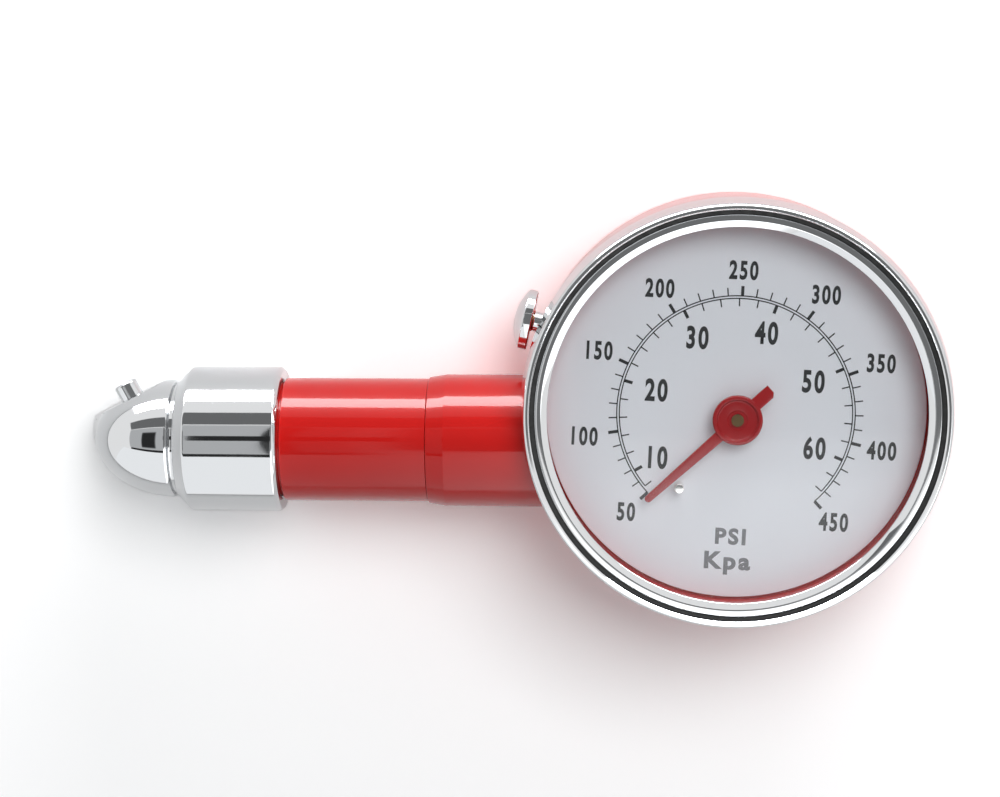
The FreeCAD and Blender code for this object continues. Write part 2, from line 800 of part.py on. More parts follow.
def make_poppet():
    """Disc with a guided stem, which lets air into the gauge and keeps it there."""
    stem_end = "guide_place + guide_thickness - poppet_travel"
    return keep(on_handle("check_poppet", [
        (POPPET_START, "0"), (POPPET_START, "poppet_radius"), (POPPET_BACK, "poppet_radius"),
        (POPPET_BACK, "poppet_stem"), (stem_end, "poppet_stem"), (stem_end, "0")]))


def make_guide():
    """Drilled brass disc that guides the poppet's stem and holds its spring."""
    form = on_handle("guide_form", [
        ("guide_place", "poppet_stem + guide_fit"), ("guide_place", "valve_bore - spigot_fit"),
        ("guide_place + guide_thickness", "valve_bore - spigot_fit"),
        ("guide_place + guide_thickness", "poppet_stem + guide_fit")])
    vents = place(slab("guide_vents_form",
                       lambda sketch: four_rings(sketch, "guide_vent_place", "guide_vent"), "0",
                       "guide_thickness + overshoot * 2"),
                  x="guide_place - overshoot", y="handle_across", z="handle_height", axis=(0, 1, 0),
                  turn="90")
    return keep(minus("check_guide", form, vents))


def coil(label, radius, wire, length, turns):
    """A round wire wound about Z from z = 0."""
    path = doc.addObject("Part::Helix", label + "_path")
    bind(path, Radius=radius, Height=length, Pitch="(%s) / (%s)" % (length, turns))
    section = doc.addObject("Part::Circle", label + "_section")
    bind(section, Radius=wire)
    place(section, x=radius, axis=(1, 0, 0), turn="90")
    spring = doc.addObject("Part::Sweep", label)
    spring.Label = label
    spring.Sections = [section]
    doc.recompute()
    spring.Spine = (path, ["Edge%d" % number for number in range(1, len(path.Shape.Edges) + 1)])
    spring.Solid = True
    spring.Frenet = True
    return spring


def make_check_spring():
    """Coil that holds the poppet on its seat."""
    length = "(guide_place - %s - check_wire * 2 - coil_gap * 2)" % POPPET_BACK
    spring = coil("check_spring", "check_coil", "check_wire", length, "check_turns")
    return keep(place(spring, x=POPPET_BACK + " + check_wire + coil_gap", y="handle_across",
                      z="handle_height",
                      axis=(0, 1, 0), turn="90"))


def make_inlet_tube():
    """Thin brass tube from the check valve to the socket block."""
    return keep(on_handle("inlet_tube", [
        ("inlet_start", "inlet_bore"), ("inlet_start", "inlet_radius"), ("inlet_end", "inlet_radius"),
        ("inlet_end", "inlet_bore")]))


def make_inlet_ring():
    """Rubber ring that seals the inlet tube in the handle."""
    return keep(turned_ring("inlet_o_ring", "ring_place", "(inlet_radius + ring_wire + ring_play)"))


# Release valve and its button

def make_release_button():
    """Chrome mushroom button, its stem, flange and thin rod in one."""
    dome = "((button_radius * button_radius + button_dome * button_dome) / (2 * button_dome))"
    return keep(on_release_line(lathe("release_button", [
        ("0", "-valve_end - plug_gap"), ("rod_radius", "-valve_end - plug_gap"),
        ("rod_radius", "-stem_length - flange_thickness"), ("stem_flange", "-stem_length - flange_thickness"),
        ("stem_flange", "-stem_length"), ("stem_radius", "-stem_length"), ("stem_radius", "0"),
        ("button_radius", "0"), ("button_radius", "button_rim"), ("0", "button_rim + button_dome"),
    ], {8: (dome, -1)})))


def make_release_plug():
    """Rubber-faced disc on the rod's end that shuts the orifice from inside."""
    return keep(on_release_line(lathe("release_plug", [
        ("0", "-valve_end - plug_gap - plug_thickness"),
        ("plug_radius", "-valve_end - plug_gap - plug_thickness"),
        ("plug_radius", "-valve_end - plug_gap"), ("0", "-valve_end - plug_gap")])))


def make_release_body():
    """Brass valve body: a neck through the case wall, a flange and a spigot in the socket block."""
    return keep(on_release_line(lathe("release_valve_body", [
        ("orifice_radius", "-valve_end"), ("valve_spigot", "-valve_end"),
        ("valve_spigot", "-valve_flange_end"),
        ("valve_flange", "-valve_flange_end"), ("valve_flange", "-valve_shoulder"),
        ("valve_neck", "-valve_shoulder"),
        ("valve_neck", "-nose_of_valve"), ("stem_radius + stem_fit", "-nose_of_valve"),
        ("stem_radius + stem_fit", "-stem_length + stem_fit"), ("spring_bore", "-stem_length + stem_fit"),
        ("spring_bore", "-spring_floor"), ("orifice_radius", "-spring_floor")])))


def make_release_spring():
    """Coil that pushes the button back out."""
    length = "(spring_floor - stem_length - flange_thickness - release_wire * 2 - coil_gap * 2)"
    spring = coil("release_spring", "release_coil", "release_wire", length, "release_turns")
    lift = "(spring_floor - release_wire - coil_gap)"
    on_release_line(spring)
    bind(spring, **{
        "Placement.Base.x": "release_x + %s * cos(release_angle)" % lift,
        "Placement.Base.y": "release_y + %s * sin(release_angle)" % lift})
    return keep(spring)


# Socket block and Bourdon tube

def make_socket_block():
    """Brass manifold: an upright bar with the bores and a tongue that carries the movement."""
    def bar(sketch):
        return outline(sketch, [
            ("block_left", "block_low + block_corner"), ("block_left + block_corner", "block_low"),
            ("block_right", "block_low"), ("block_right", "block_high"),
            ("block_left + block_corner", "block_high"), ("block_left", "block_high - block_corner")])

    def tongue(sketch):
        return outline(sketch, [
            ("block_right - block_corner", "block_low"), ("plate_left", "tongue_low"),
            ("tongue_right - block_corner", "tongue_low"), ("tongue_right", "tongue_low + block_corner"),
            ("tongue_right", "tongue_high - block_corner"), ("tongue_right - block_corner", "tongue_high"),
            ("block_right - block_corner", "tongue_high")])

    body = slab("block_bar_form", bar, "back_wall", "block_top - back_wall")
    foot = slab("block_tongue_form", tongue, "back_wall", "tongue_top - back_wall")
    whole = joined("block_solid_form", body, foot)
    inlet = handle_bore("block_inlet_form", "inlet_radius + spigot_fit", "block_left - block_corner",
                        "inlet_end + spigot_fit")
    spigot = release_bore("block_spigot_form", "valve_spigot + spigot_fit", "valve_shoulder",
                          "valve_end + spigot_fit")
    relief = release_bore("block_relief_form", "relief_radius", "valve_end",
                          "valve_end + plug_gap + plug_thickness + button_travel + relief_room")
    gallery = rod("block_gallery_form", "air_radius",
                  "release_y + valve_end * sin(release_angle) - handle_across",
                  x="block_right - relief_radius", y="handle_across", z="handle_height", axis=(1, 0, 0),
                  turn="-90")
    elbow = handle_bore("block_elbow_form", "air_radius", "inlet_end", "block_right - relief_radius")
    slot = bourdon_arc("block_slot_form", "bourdon_thick + spigot_fit * 2", "bourdon_tall + spigot_fit * 2",
                       "root_angle - root_depth * 2", "root_angle + root_depth + root_play")
    cutters = [inlet, spigot, relief, gallery, elbow, slot]
    for number, (x, y) in enumerate(BACK_SCREWS, start=1):
        cutters.append(rod("block_tap_form_%d" % number, "back_screw + spigot_fit",
                           "back_length + spigot_fit", x=x, y=y))
    for number, (x, y) in enumerate(PILLARS, start=1):
        cutters.append(rod("block_stud_form_%d" % number, "stud_radius + spigot_fit", "stud_length", x=x,
                           y=y, z="tongue_top - stud_length + plate_thick"))
    return keep(minus("socket_block", whole, *cutters))


def bourdon_arc(label, thick, tall, start, stop):
    """Part of a flat ring about the case's middle, between two angles counted anticlockwise."""
    body = new_body(label)
    sketch = sketch_on(body, "XZ_Plane", label + "_profile")
    left = "bourdon_radius - (%s) / 2" % thick
    right = "bourdon_radius + (%s) / 2" % thick
    low = "bourdon_middle - (%s) / 2" % tall
    high = "bourdon_middle + (%s) / 2" % tall
    outline(sketch, [(left, low), (right, low), (right, high), (left, high)])
    turned = body.newObject("PartDesign::Revolution", label + "_turned")
    turned.Profile = sketch
    turned.ReferenceAxis = (sketch, ["V_Axis"])
    turned.setExpression("Angle", linked("(%s) - (%s)" % (stop, start)))
    return place(body, turn=start)


PILLARS = (("pillar_ax", "pillar_ay"), ("pillar_bx", "pillar_by"))


def make_bourdon_tube():
    """Flat spring tube bent to a C, which opens a little as the pressure rises."""
    start = "tip_angle - 360"
    stop = "root_angle + root_depth"
    skin = bourdon_arc("bourdon_skin_form", "bourdon_thick", "bourdon_tall", start, stop)
    hollow = bourdon_arc("bourdon_hollow_form", "bourdon_thick - bourdon_wall * 2",
                         "bourdon_tall - bourdon_wall * 2",
                         start + " - overshoot", stop + " + overshoot")
    return keep(minus("bourdon_tube", skin, hollow))


SECTOR_X = "(hub_x + gear_module * (pinion_teeth + sector_teeth) / 2 * cos(line_angle))"
SECTOR_Y = "(hub_y + gear_module * (pinion_teeth + sector_teeth) / 2 * sin(line_angle))"
TAIL_X = "(%s + tail_arm * cos(tail_angle))" % SECTOR_X
TAIL_Y = "(%s + tail_arm * sin(tail_angle))" % SECTOR_Y
LINK_TURN = "(tail_angle + pointer_sweep * pinion_teeth / sector_teeth / 2 - 90)"
TIP_X = "(%s + link_length * cos(%s))" % (TAIL_X, LINK_TURN)
TIP_Y = "(%s + link_length * sin(%s))" % (TAIL_Y, LINK_TURN)


def along_tube(length):
    """The angle that a length along the middle of the tube takes up."""
    return "(%s) / bourdon_radius * 180 / pi" % length


def make_tube_end():
    """Brass cap on the tip of the tube, with a lug and an eye for the link."""
    stop = "tip_angle - " + along_tube("cap_gap")
    cap = bourdon_arc("cap_form", "cap_thick", "cap_tall",
                      "tip_angle - " + along_tube("cap_gap + cap_length"), stop)
    middle = "(tip_angle - %s)" % along_tube("cap_gap + cap_length / 2")
    foot_x = "(bourdon_radius * cos(%s))" % middle
    foot_y = "(bourdon_radius * sin(%s))" % middle
    span = "sqrt((%s - %s) ^ 2 + (%s - %s) ^ 2)" % (foot_x, TIP_X, foot_y, TIP_Y)
    arm = block("lug_arm_form", span, "lug_width", "lug_thick", z="lug_top - lug_thick")
    heading = "atan2(%s - %s; %s - %s)" % (TIP_Y, foot_y, TIP_X, foot_x)
    turned = FreeCAD.Rotation(FreeCAD.Vector(0, 0, 1), value(heading))
    arm.Placement = FreeCAD.Placement(FreeCAD.Vector(0, 0, 0), turned)
    bind(arm, **{
        "Placement.Base.x": "%s + lug_width / 2 * sin(%s)" % (foot_x, heading),
        "Placement.Base.y": "%s - lug_width / 2 * cos(%s)" % (foot_y, heading),
        "Placement.Base.z": "lug_top - lug_thick"})
    eye = rod("lug_eye_form", "lug_eye", "lug_thick", x=TIP_X, y=TIP_Y, z="lug_top - lug_thick")
    hole = rod("lug_hole_form", "open_hole", "lug_thick + overshoot * 2", x=TIP_X, y=TIP_Y,
               z="lug_top - lug_thick - overshoot")
    return keep(minus("tube_end_cap", joined("cap_solid_form", cap, arm, eye), hole))


# Movement: plates, pillars, sector, pinion, link and hairspring

UPPER_PLATE = "(tongue_top + plate_thick + plate_gap)"
PITCH_SECTOR = "(gear_module * sector_teeth / 2)"
PITCH_PINION = "(gear_module * pinion_teeth / 2)"
SECTOR_TOP = "(sector_low + sector_thick)"


def plate_outline(sketch):
    """Outline shared by both plates of the movement."""
    return outline(sketch, [
        ("plate_left", "tongue_low + plate_corner"), ("plate_left + plate_corner", "tongue_low"),
        ("tongue_right - plate_corner", "tongue_low"), ("tongue_right", "tongue_low + plate_corner"),
        ("tongue_right", "tongue_high - plate_corner"), ("tongue_right - plate_corner", "tongue_high"),
        ("plate_left + plate_corner", "tongue_high"), ("plate_left", "tongue_high - plate_corner")])


def make_lower_plate():
    """Brass plate on the tongue, with holes for the pivots and the pillars' studs."""
    plate = slab("lower_plate_form", plate_outline, "tongue_top", "plate_thick")
    holes = []
    for number, (x, y) in enumerate(PILLARS, start=1):
        holes.append(rod("lower_stud_form_%d" % number, "stud_radius + spigot_fit",
                         "plate_thick + overshoot * 2", x=x, y=y, z="tongue_top - overshoot"))
    for number, (x, y) in enumerate(((SECTOR_X, SECTOR_Y), ("hub_x", "hub_y")), start=1):
        holes.append(rod("lower_pivot_form_%d" % number, "pivot_radius + pivot_fit",
                         "plate_thick + overshoot * 2", x=x, y=y, z="tongue_top - overshoot"))
    return keep(minus("lower_plate", plate, *holes))


def make_upper_plate():
    """Brass plate on the pillars, with the arbor's bearing and the sector's pivot hole."""
    plate = slab("upper_plate_form", plate_outline, UPPER_PLATE, "plate_thick")
    low = UPPER_PLATE + " - overshoot"
    tall = "plate_thick + overshoot * 2"
    holes = [
        rod("upper_pivot_form", "pivot_radius + pivot_fit", tall, x=SECTOR_X, y=SECTOR_Y, z=low),
        rod("upper_bearing_form", "arbor_radius + pivot_fit", tall, x="hub_x", y="hub_y", z=low)]
    for number, (x, y) in enumerate(PILLARS, start=1):
        holes.append(rod("upper_screw_form_%d" % number, "screw_radius + spigot_fit", tall, x=x, y=y, z=low))
    return keep(minus("upper_plate", plate, *holes))


def make_pillars():
    """Two turned pillars, with a stud below and a tapped hole above."""
    pillars = []
    for number, (x, y) in enumerate(PILLARS, start=1):
        hole = "screw_radius + spigot_fit"
        bottom = UPPER_PLATE + " - screw_length"
        pillars.append(place(lathe("movement_pillar_%d" % number, [
            ("0", "tongue_top + plate_thick - stud_length"),
            ("stud_radius", "tongue_top + plate_thick - stud_length"),
            ("stud_radius", "tongue_top + plate_thick"), ("pillar_radius", "tongue_top + plate_thick"),
            ("pillar_radius", UPPER_PLATE), (hole, UPPER_PLATE), (hole, bottom), ("0", bottom)]), x=x, y=y))
    return keep(group("movement_pillars", *pillars))


def make_movement_screws():
    """Two slotted screws that hold the upper plate on the pillars."""
    top = UPPER_PLATE + " + plate_thick"
    screws = []
    for number, (x, y) in enumerate(PILLARS, start=1):
        form = place(lathe("movement_screw_form_%d" % number, [
            ("0", UPPER_PLATE + " - screw_length + plate_thick / 2"),
            ("screw_radius", UPPER_PLATE + " - screw_length + plate_thick / 2"),
            ("screw_radius", top), ("screw_head", top), ("screw_head", top + " + screw_head_tall"),
            ("0", top + " + screw_head_tall")]), x=x, y=y)
        slot = block("movement_slot_form_%d" % number, "(screw_head + overshoot) * 2", "slot_width",
                     "slot_depth + overshoot", x=x + " - screw_head - overshoot", y=y + " - slot_width / 2",
                     z=top + " + screw_head_tall - slot_depth")
        screws.append(minus("movement_screw_%d" % number, form, slot))
    return keep(group("movement_screws", *screws))


def tooth_outline(root, pitch, tip, turn):
    """Straight-sided tooth from its root to its tip, pointing along an angle."""
    def corner(radius, half):
        return ("(%s) * cos(%s) - (%s) * sin(%s)" % (radius, turn, half, turn),
                "(%s) * sin(%s) + (%s) * cos(%s)" % (radius, turn, half, turn))

    def draw(sketch):
        foot = "tooth_width - tooth_tip / 2"
        return outline(sketch, [
            corner(root, "-(%s)" % foot), corner(pitch, "-tooth_width / 2"), corner(tip, "-tooth_tip / 2"),
            corner(tip, "tooth_tip / 2"), corner(pitch, "tooth_width / 2"), corner(root, foot)])
    return draw


def spread(body, feature, name, count, angle):
    """Repeat a tooth about Z and let the body end with the pattern."""
    pattern = body.newObject("PartDesign::PolarPattern", name)
    pattern.Originals = [feature]
    pattern.Axis = (feature.Profile[0], ["N_Axis"])
    pattern.Angle = value(angle)
    pattern.setExpression("Angle", linked(angle))
    pattern.Occurrences = int(value(count))
    pattern.setExpression("Occurrences", linked(count))
    body.Tip = pattern
    return pattern


def make_pinion():
    """Brass pinion pressed on the pointer's arbor."""
    root = PITCH_PINION + " - tooth_foot"
    body = slab("pinion", lambda sketch: ring(ring(sketch, "0", "0", root + " + tooth_sink"), "0", "0",
                                              "arbor_radius"),
                "pinion_low", "pinion_tall")
    tooth = pad_on(body, "pinion_tooth", tooth_outline(root, PITCH_PINION, PITCH_PINION + " + tooth_head",
                                                      "line_angle + 180 / pinion_teeth"),
                   "pinion_low", "pinion_tall")
    spread(body, tooth, "pinion_teeth_ring", "pinion_teeth", "360")
    return keep(place(body, x="hub_x", y="hub_y"))


SECTOR_STEP = "(360 / sector_teeth)"


def make_sector_gear():
    """Toothed sector on two spokes, with a tail for the link."""
    root = PITCH_SECTOR + " - tooth_foot"
    rim_inner = "(%s - sector_rim)" % root
    last = "(line_angle - 180 + %s * (lead_teeth + rim_margin))" % SECTOR_STEP
    first = "(line_angle - 180 - %s * (sector_count - 1 - lead_teeth + rim_margin))" % SECTOR_STEP
    body = slab("sector_rim_form", lambda sketch: outline(sketch, [
        ("%s * cos(%s)" % (rim_inner, first), "%s * sin(%s)" % (rim_inner, first)),
        ("(%s + tooth_sink) * cos(%s)" % (root, first), "(%s + tooth_sink) * sin(%s)" % (root, first)),
        ("(%s + tooth_sink) * cos(%s)" % (root, last), "(%s + tooth_sink) * sin(%s)" % (root, last)),
        ("%s * cos(%s)" % (rim_inner, last), "%s * sin(%s)" % (rim_inner, last)),
    ], {1: (root + " + tooth_sink", -1), 3: (rim_inner, 1)}), "sector_low", "sector_thick")
    first_tooth = "line_angle - 180 - %s * (sector_count - 1 - lead_teeth)" % SECTOR_STEP
    tooth = pad_on(body, "sector_tooth",
                   tooth_outline(root, PITCH_SECTOR, PITCH_SECTOR + " + tooth_head", first_tooth),
                   "sector_low", "sector_thick")
    spread(body, tooth, "sector_teeth_row", "sector_count", "%s * (sector_count - 1)" % SECTOR_STEP)
    place(body, x=SECTOR_X, y=SECTOR_Y)
    spokes = []
    for number, heading in enumerate((first + " + spoke_inset", last + " - spoke_inset"), start=1):
        spokes.append(block("sector_spoke_form_%d" % number, rim_inner + " + sector_rim / 2", "spoke_width",
                            "sector_thick", x="%s + spoke_width / 2 * sin(%s)" % (SECTOR_X, heading),
                            y="%s - spoke_width / 2 * cos(%s)" % (SECTOR_Y, heading), z="sector_low",
                            turn=heading))
    tail = block("sector_tail_form", "tail_arm", "spoke_width", "sector_thick",
                 x="%s + spoke_width / 2 * sin(tail_angle)" % SECTOR_X,
                 y="%s - spoke_width / 2 * cos(tail_angle)" % SECTOR_Y, z="sector_low", turn="tail_angle")
    hub = rod("sector_hub_form", "sector_hub", "sector_thick", x=SECTOR_X, y=SECTOR_Y, z="sector_low")
    eye = rod("sector_eye_form", "sector_eye", "sector_thick", x=TAIL_X, y=TAIL_Y, z="sector_low")
    bore = rod("sector_bore_form", "arbor_radius", "sector_thick + overshoot * 2", x=SECTOR_X, y=SECTOR_Y,
               z="sector_low - overshoot")
    hole = rod("sector_hole_form", "link_pin + pin_fit", "sector_thick + overshoot * 2", x=TAIL_X,
               y=TAIL_Y, z="sector_low - overshoot")
    return keep(minus("sector_gear", joined("sector_solid_form", body, *spokes, tail, hub, eye), bore, hole))


def make_sector_arbor():
    """Steel shaft of the sector, with a thin pivot at each end."""
    low = "tongue_top + plate_thick"
    return keep(place(lathe("sector_arbor", [
        ("0", low + " - pivot_length"), ("pivot_radius", low + " - pivot_length"),
        ("pivot_radius", low + " + pivot_fit"), ("arbor_radius", low + " + pivot_fit"),
        ("arbor_radius", UPPER_PLATE + " - pivot_fit"), ("pivot_radius", UPPER_PLATE + " - pivot_fit"),
        ("pivot_radius", UPPER_PLATE + " + pivot_length"), ("0", UPPER_PLATE + " + pivot_length")]),
        x=SECTOR_X, y=SECTOR_Y))


def make_pointer_arbor():
    """Brass shaft of the pointer, with the hairspring's collet and a thin pivot below."""
    low = "tongue_top + plate_thick"
    return keep(place(lathe("pointer_arbor", [
        ("0", low + " - pivot_length"), ("pivot_radius", low + " - pivot_length"),
        ("pivot_radius", low + " + pivot_fit"), ("arbor_radius", low + " + pivot_fit"),
        ("arbor_radius", "collet_low"), ("collet_radius", "collet_low"),
        ("collet_radius", "collet_low + collet_tall"), ("arbor_radius", "collet_low + collet_tall"),
        ("arbor_radius", "arbor_top"), ("0", "arbor_top")]), x="hub_x", y="hub_y"))


def make_link():
    """Steel link with a pin at each end, one in the sector's tail and one in the tube's lug."""
    strap_low = SECTOR_TOP + " + link_gap"
    length = "link_length"
    strap = block("link_strap_form", length, "link_width", "link_thick",
                  x="%s + link_width / 2 * sin(%s)" % (TAIL_X, LINK_TURN),
                  y="%s - link_width / 2 * cos(%s)" % (TAIL_Y, LINK_TURN), z=strap_low, turn=LINK_TURN)
    pieces = [strap]
    for number, (x, y) in enumerate(((TAIL_X, TAIL_Y), (TIP_X, TIP_Y)), start=1):
        pieces.append(rod("link_eye_form_%d" % number, "link_eye", "link_thick", x=x, y=y, z=strap_low))
        pieces.append(rod("link_pin_form_%d" % number, "link_pin",
                          "sector_thick + link_gap * 2 + link_thick + link_head",
                          x=x, y=y, z="sector_low - link_gap"))
    return keep(joined("link", *pieces))


def make_hairspring():
    """Flat spiral that takes up the play between the teeth."""
    path = doc.addObject("Part::Spiral", "hair_path")
    bind(path, Radius="hair_start", Growth="hair_pitch", Rotations="hair_turns")
    strip = doc.addObject("Part::Plane", "hair_section")
    bind(strip, Length="hair_thick", Width="hair_tall")
    place(strip, x="hair_start - hair_thick / 2", z="-hair_tall / 2", axis=(1, 0, 0), turn="90")
    spring = doc.addObject("Part::Sweep", "hairspring")
    spring.Sections = [strip]
    doc.recompute()
    spring.Spine = (path, ["Edge%d" % number for number in range(1, len(path.Shape.Edges) + 1)])
    spring.Solid = True
    spring.Frenet = True
    return keep(place(spring, x="hub_x", y="hub_y", z="collet_low + collet_tall / 2"))


def make_hair_stud():
    """Post on the lower plate that holds the spiral's outer end."""
    outer = "(hair_start + hair_pitch * hair_turns + hair_thick / 2 + hair_stud)"
    return keep(rod("hairspring_stud", "hair_stud", "collet_low + collet_tall - tongue_top - plate_thick",
                    x="hub_x + " + outer, y="hub_y", z="tongue_top + plate_thick"))


# Dial, stop pin and pointer

def make_dial():
    """Flat disc on the ledge of the case, with holes for the arbor and the stop pin."""
    radius = "case_bore - dial_fit"
    plate = slab("dial_form", lambda sketch: ring(ring(ring(sketch, "0", "0", radius), "hub_x", "hub_y",
                                                       "dial_hole"),
                                                  "stop_x", "stop_y", "stop_shank"), DIAL_UNDER,
                                                  "dial_thickness")
    plate.Label = "dial_plate"
    return keep(plate)


def make_stop_pin():
    """Steel pin on the dial that the pointer comes back to."""
    return keep(place(lathe("stop_pin", [
        ("0", DIAL_UNDER), ("stop_shank", DIAL_UNDER), ("stop_shank", "dial_top"),
        ("stop_radius", "dial_top"),
        ("stop_radius", "dial_top + stop_tall"), ("0", "dial_top + stop_tall")]), x="stop_x", y="stop_y"))


def make_pointer():
    """Red pointer: a dished hub with a raised rim, a tapered arm and a short tail."""
    arm_low = "pointer_low + (hub_tall - arm_thick) / 2"
    hub = lathe("pointer_hub_form", [
        ("arbor_radius", "pointer_low - boss_drop"), ("hub_boss", "pointer_low - boss_drop"),
        ("hub_boss", "pointer_low"), ("hub_radius", "pointer_low"), ("hub_radius", "pointer_low + hub_tall"),
        ("hub_radius - hub_rim", "pointer_low + hub_tall"),
        ("hub_boss", "pointer_low + hub_tall - hub_dish"),
        ("arbor_radius", "pointer_low + hub_tall - hub_dish")])
    arm = slab("pointer_arm_form", lambda sketch: outline(sketch, [
        ("hub_radius - hub_rim / 2", "-pointer_root_width / 2"), ("pointer_length", "-pointer_tip_width / 2"),
        ("pointer_length", "pointer_tip_width / 2"), ("hub_radius - hub_rim / 2", "pointer_root_width / 2")],
        {1: ("pointer_tip_round", -1)}), arm_low, "arm_thick")
    tail = slab("pointer_tail_form", lambda sketch: outline(sketch, [
        ("-hub_radius + hub_rim / 2", "tail_width / 2"), ("-tail_length + hub_rim", "tail_width / 2"),
        ("-tail_length", "tail_width / 2 - hub_rim"), ("-tail_length", "-tail_width / 2"),
        ("-hub_radius + hub_rim / 2", "-tail_width / 2")]), arm_low, "arm_thick")
    whole = joined("pointer", hub, arm, tail)
    return keep(place(whole, x="hub_x", y="hub_y", turn="pointer_angle"))


make_bezel()
make_lens()
make_gasket()
make_case()
make_back_screws()
make_handle_tube()
make_collar()
make_collar_ring()
make_chuck_head()
make_deflator()
make_seal()
make_depressor()
make_check_seat()
make_poppet()
make_guide()
make_check_spring()
make_inlet_tube()
make_inlet_ring()
make_release_button()
make_release_plug()
make_release_body()
make_release_spring()
make_socket_block()
make_bourdon_tube()
make_tube_end()
make_lower_plate()
make_upper_plate()
make_pillars()
make_movement_screws()
make_pinion()
make_sector_gear()
make_sector_arbor()
make_pointer_arbor()
make_link()
make_hairspring()
make_hair_stud()
make_dial()
make_stop_pin()
make_pointer()

doc.recompute()

faults = ["%s is %s" % (item.Label, item.State) for item in doc.Objects
          if "Invalid" in item.State or "Error" in item.State]
faults += ["%s has no valid shape" % part.Label for part in nodes
           if part.Shape.isNull() or not part.Shape.isValid()]
if faults:
    raise RuntimeError("; ".join(faults))

os.makedirs("parts", exist_ok=True)
for part in nodes:
    part.Shape.exportStep("parts/%s.step" % part.Label)
    print("%-20s %2d solids %9.2f mm3" % (part.Label, len(part.Shape.Solids), part.Shape.Volume))
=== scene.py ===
"""Dial tyre pressure gauge: finished meshes, materials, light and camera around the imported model."""

import logging
import math
from dataclasses import dataclass, field
from enum import Enum
from typing import Optional, Sequence, Union

import bmesh
import bpy
from mathutils import Euler, Matrix, Vector

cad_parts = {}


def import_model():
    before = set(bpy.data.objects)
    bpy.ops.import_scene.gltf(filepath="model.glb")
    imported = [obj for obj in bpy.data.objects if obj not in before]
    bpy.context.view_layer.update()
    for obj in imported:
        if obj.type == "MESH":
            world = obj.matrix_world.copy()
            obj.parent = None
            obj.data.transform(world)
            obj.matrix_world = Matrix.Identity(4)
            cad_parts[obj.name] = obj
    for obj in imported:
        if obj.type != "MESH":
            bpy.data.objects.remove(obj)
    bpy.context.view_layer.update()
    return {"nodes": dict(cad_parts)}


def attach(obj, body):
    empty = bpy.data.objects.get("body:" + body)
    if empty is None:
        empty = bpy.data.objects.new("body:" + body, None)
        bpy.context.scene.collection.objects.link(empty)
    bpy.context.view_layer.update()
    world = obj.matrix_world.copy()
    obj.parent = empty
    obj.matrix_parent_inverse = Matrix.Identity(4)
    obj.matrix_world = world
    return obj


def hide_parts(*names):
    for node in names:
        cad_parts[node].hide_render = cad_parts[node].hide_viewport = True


LOG = logging.getLogger("gauge")
MM = 0.001
FULL_TURN = 2.0 * math.pi
Point = tuple[float, float]
Colour = tuple[float, float, float]
Input = Union[bpy.types.NodeSocket, float, tuple[float, ...], Vector]


class Edge(Enum):
    """How sharply a mesh may turn before its edge is shown hard, in degrees."""

    SOFT = 60.0
    TURNED = 32.0
    FLAT = 12.0


# Finishes


@dataclass(frozen=True)
class Finish:
    """A surface finish that builds one procedural material."""

    name: str
    colour: Colour
    roughness: float = 0.3
    metallic: float = 0.0

    def build(self) -> bpy.types.Material:
        """Make the material.

        Returns:
            A new material with its nodes set.
        """
        material = bpy.data.materials.new(self.name)
        material.use_nodes = True
        shader = material.node_tree.nodes["Principled BSDF"]
        shader.inputs["Base Color"].default_value = (*self.colour, 1.0)
        shader.inputs["Roughness"].default_value = self.roughness
        shader.inputs["Metallic"].default_value = self.metallic
        self.detail(material.node_tree, shader)
        return material

    def detail(self, tree: bpy.types.NodeTree, shader: bpy.types.Node) -> None:
        """Add the marks that set this finish apart; a plain finish has a slight unevenness only.

        Args:
            tree: The material's node tree.
            shader: Its Principled shader.
        """
        vary_roughness(tree, shader, 900.0, self.roughness * 0.85, self.roughness * 1.2)


def add_node(tree: bpy.types.NodeTree, kind: str, inputs: Optional[dict[Union[str, int], Input]] = None,
             **settings: str) -> bpy.types.Node:
    """Add a node with its settings, and set or link its inputs.

    Args:
        tree: The node tree to add to.
        kind: The node's type, without the leading ShaderNode.
        inputs: Values to set or sockets to link, by the input's name or number.
        settings: The node's own properties.

    Returns:
        The node.
    """
    node = tree.nodes.new("ShaderNode" + kind)
    for name, setting in settings.items():
        setattr(node, name, setting)
    for key, value in (inputs or {}).items():
        if isinstance(value, bpy.types.NodeSocket):
            tree.links.new(value, node.inputs[key])
        else:
            node.inputs[key].default_value = value
    return node


def bare_tree(owner: Union[bpy.types.Material, bpy.types.World]) -> bpy.types.NodeTree:
    """Switch a material or a world to nodes and empty its tree.

    Args:
        owner: The material or world.

    Returns:
        Its empty node tree.
    """
    owner.use_nodes = True
    owner.node_tree.nodes.clear()
    return owner.node_tree


def show_mix(tree: bpy.types.NodeTree, share: bpy.types.NodeSocket, first: bpy.types.NodeSocket,
             second: bpy.types.NodeSocket, kind: str = "Material") -> None:
    """Mix two shaders and send the mix to the output.

    Args:
        tree: The node tree to add to.
        share: The second shader's share.
        first: The first shader.
        second: The second shader.
        kind: What the tree belongs to, Material or World.
    """
    mix = add_node(tree, "MixShader", {0: share, 1: first, 2: second})
    add_node(tree, "Output" + kind, {"Surface": mix.outputs["Shader"]})


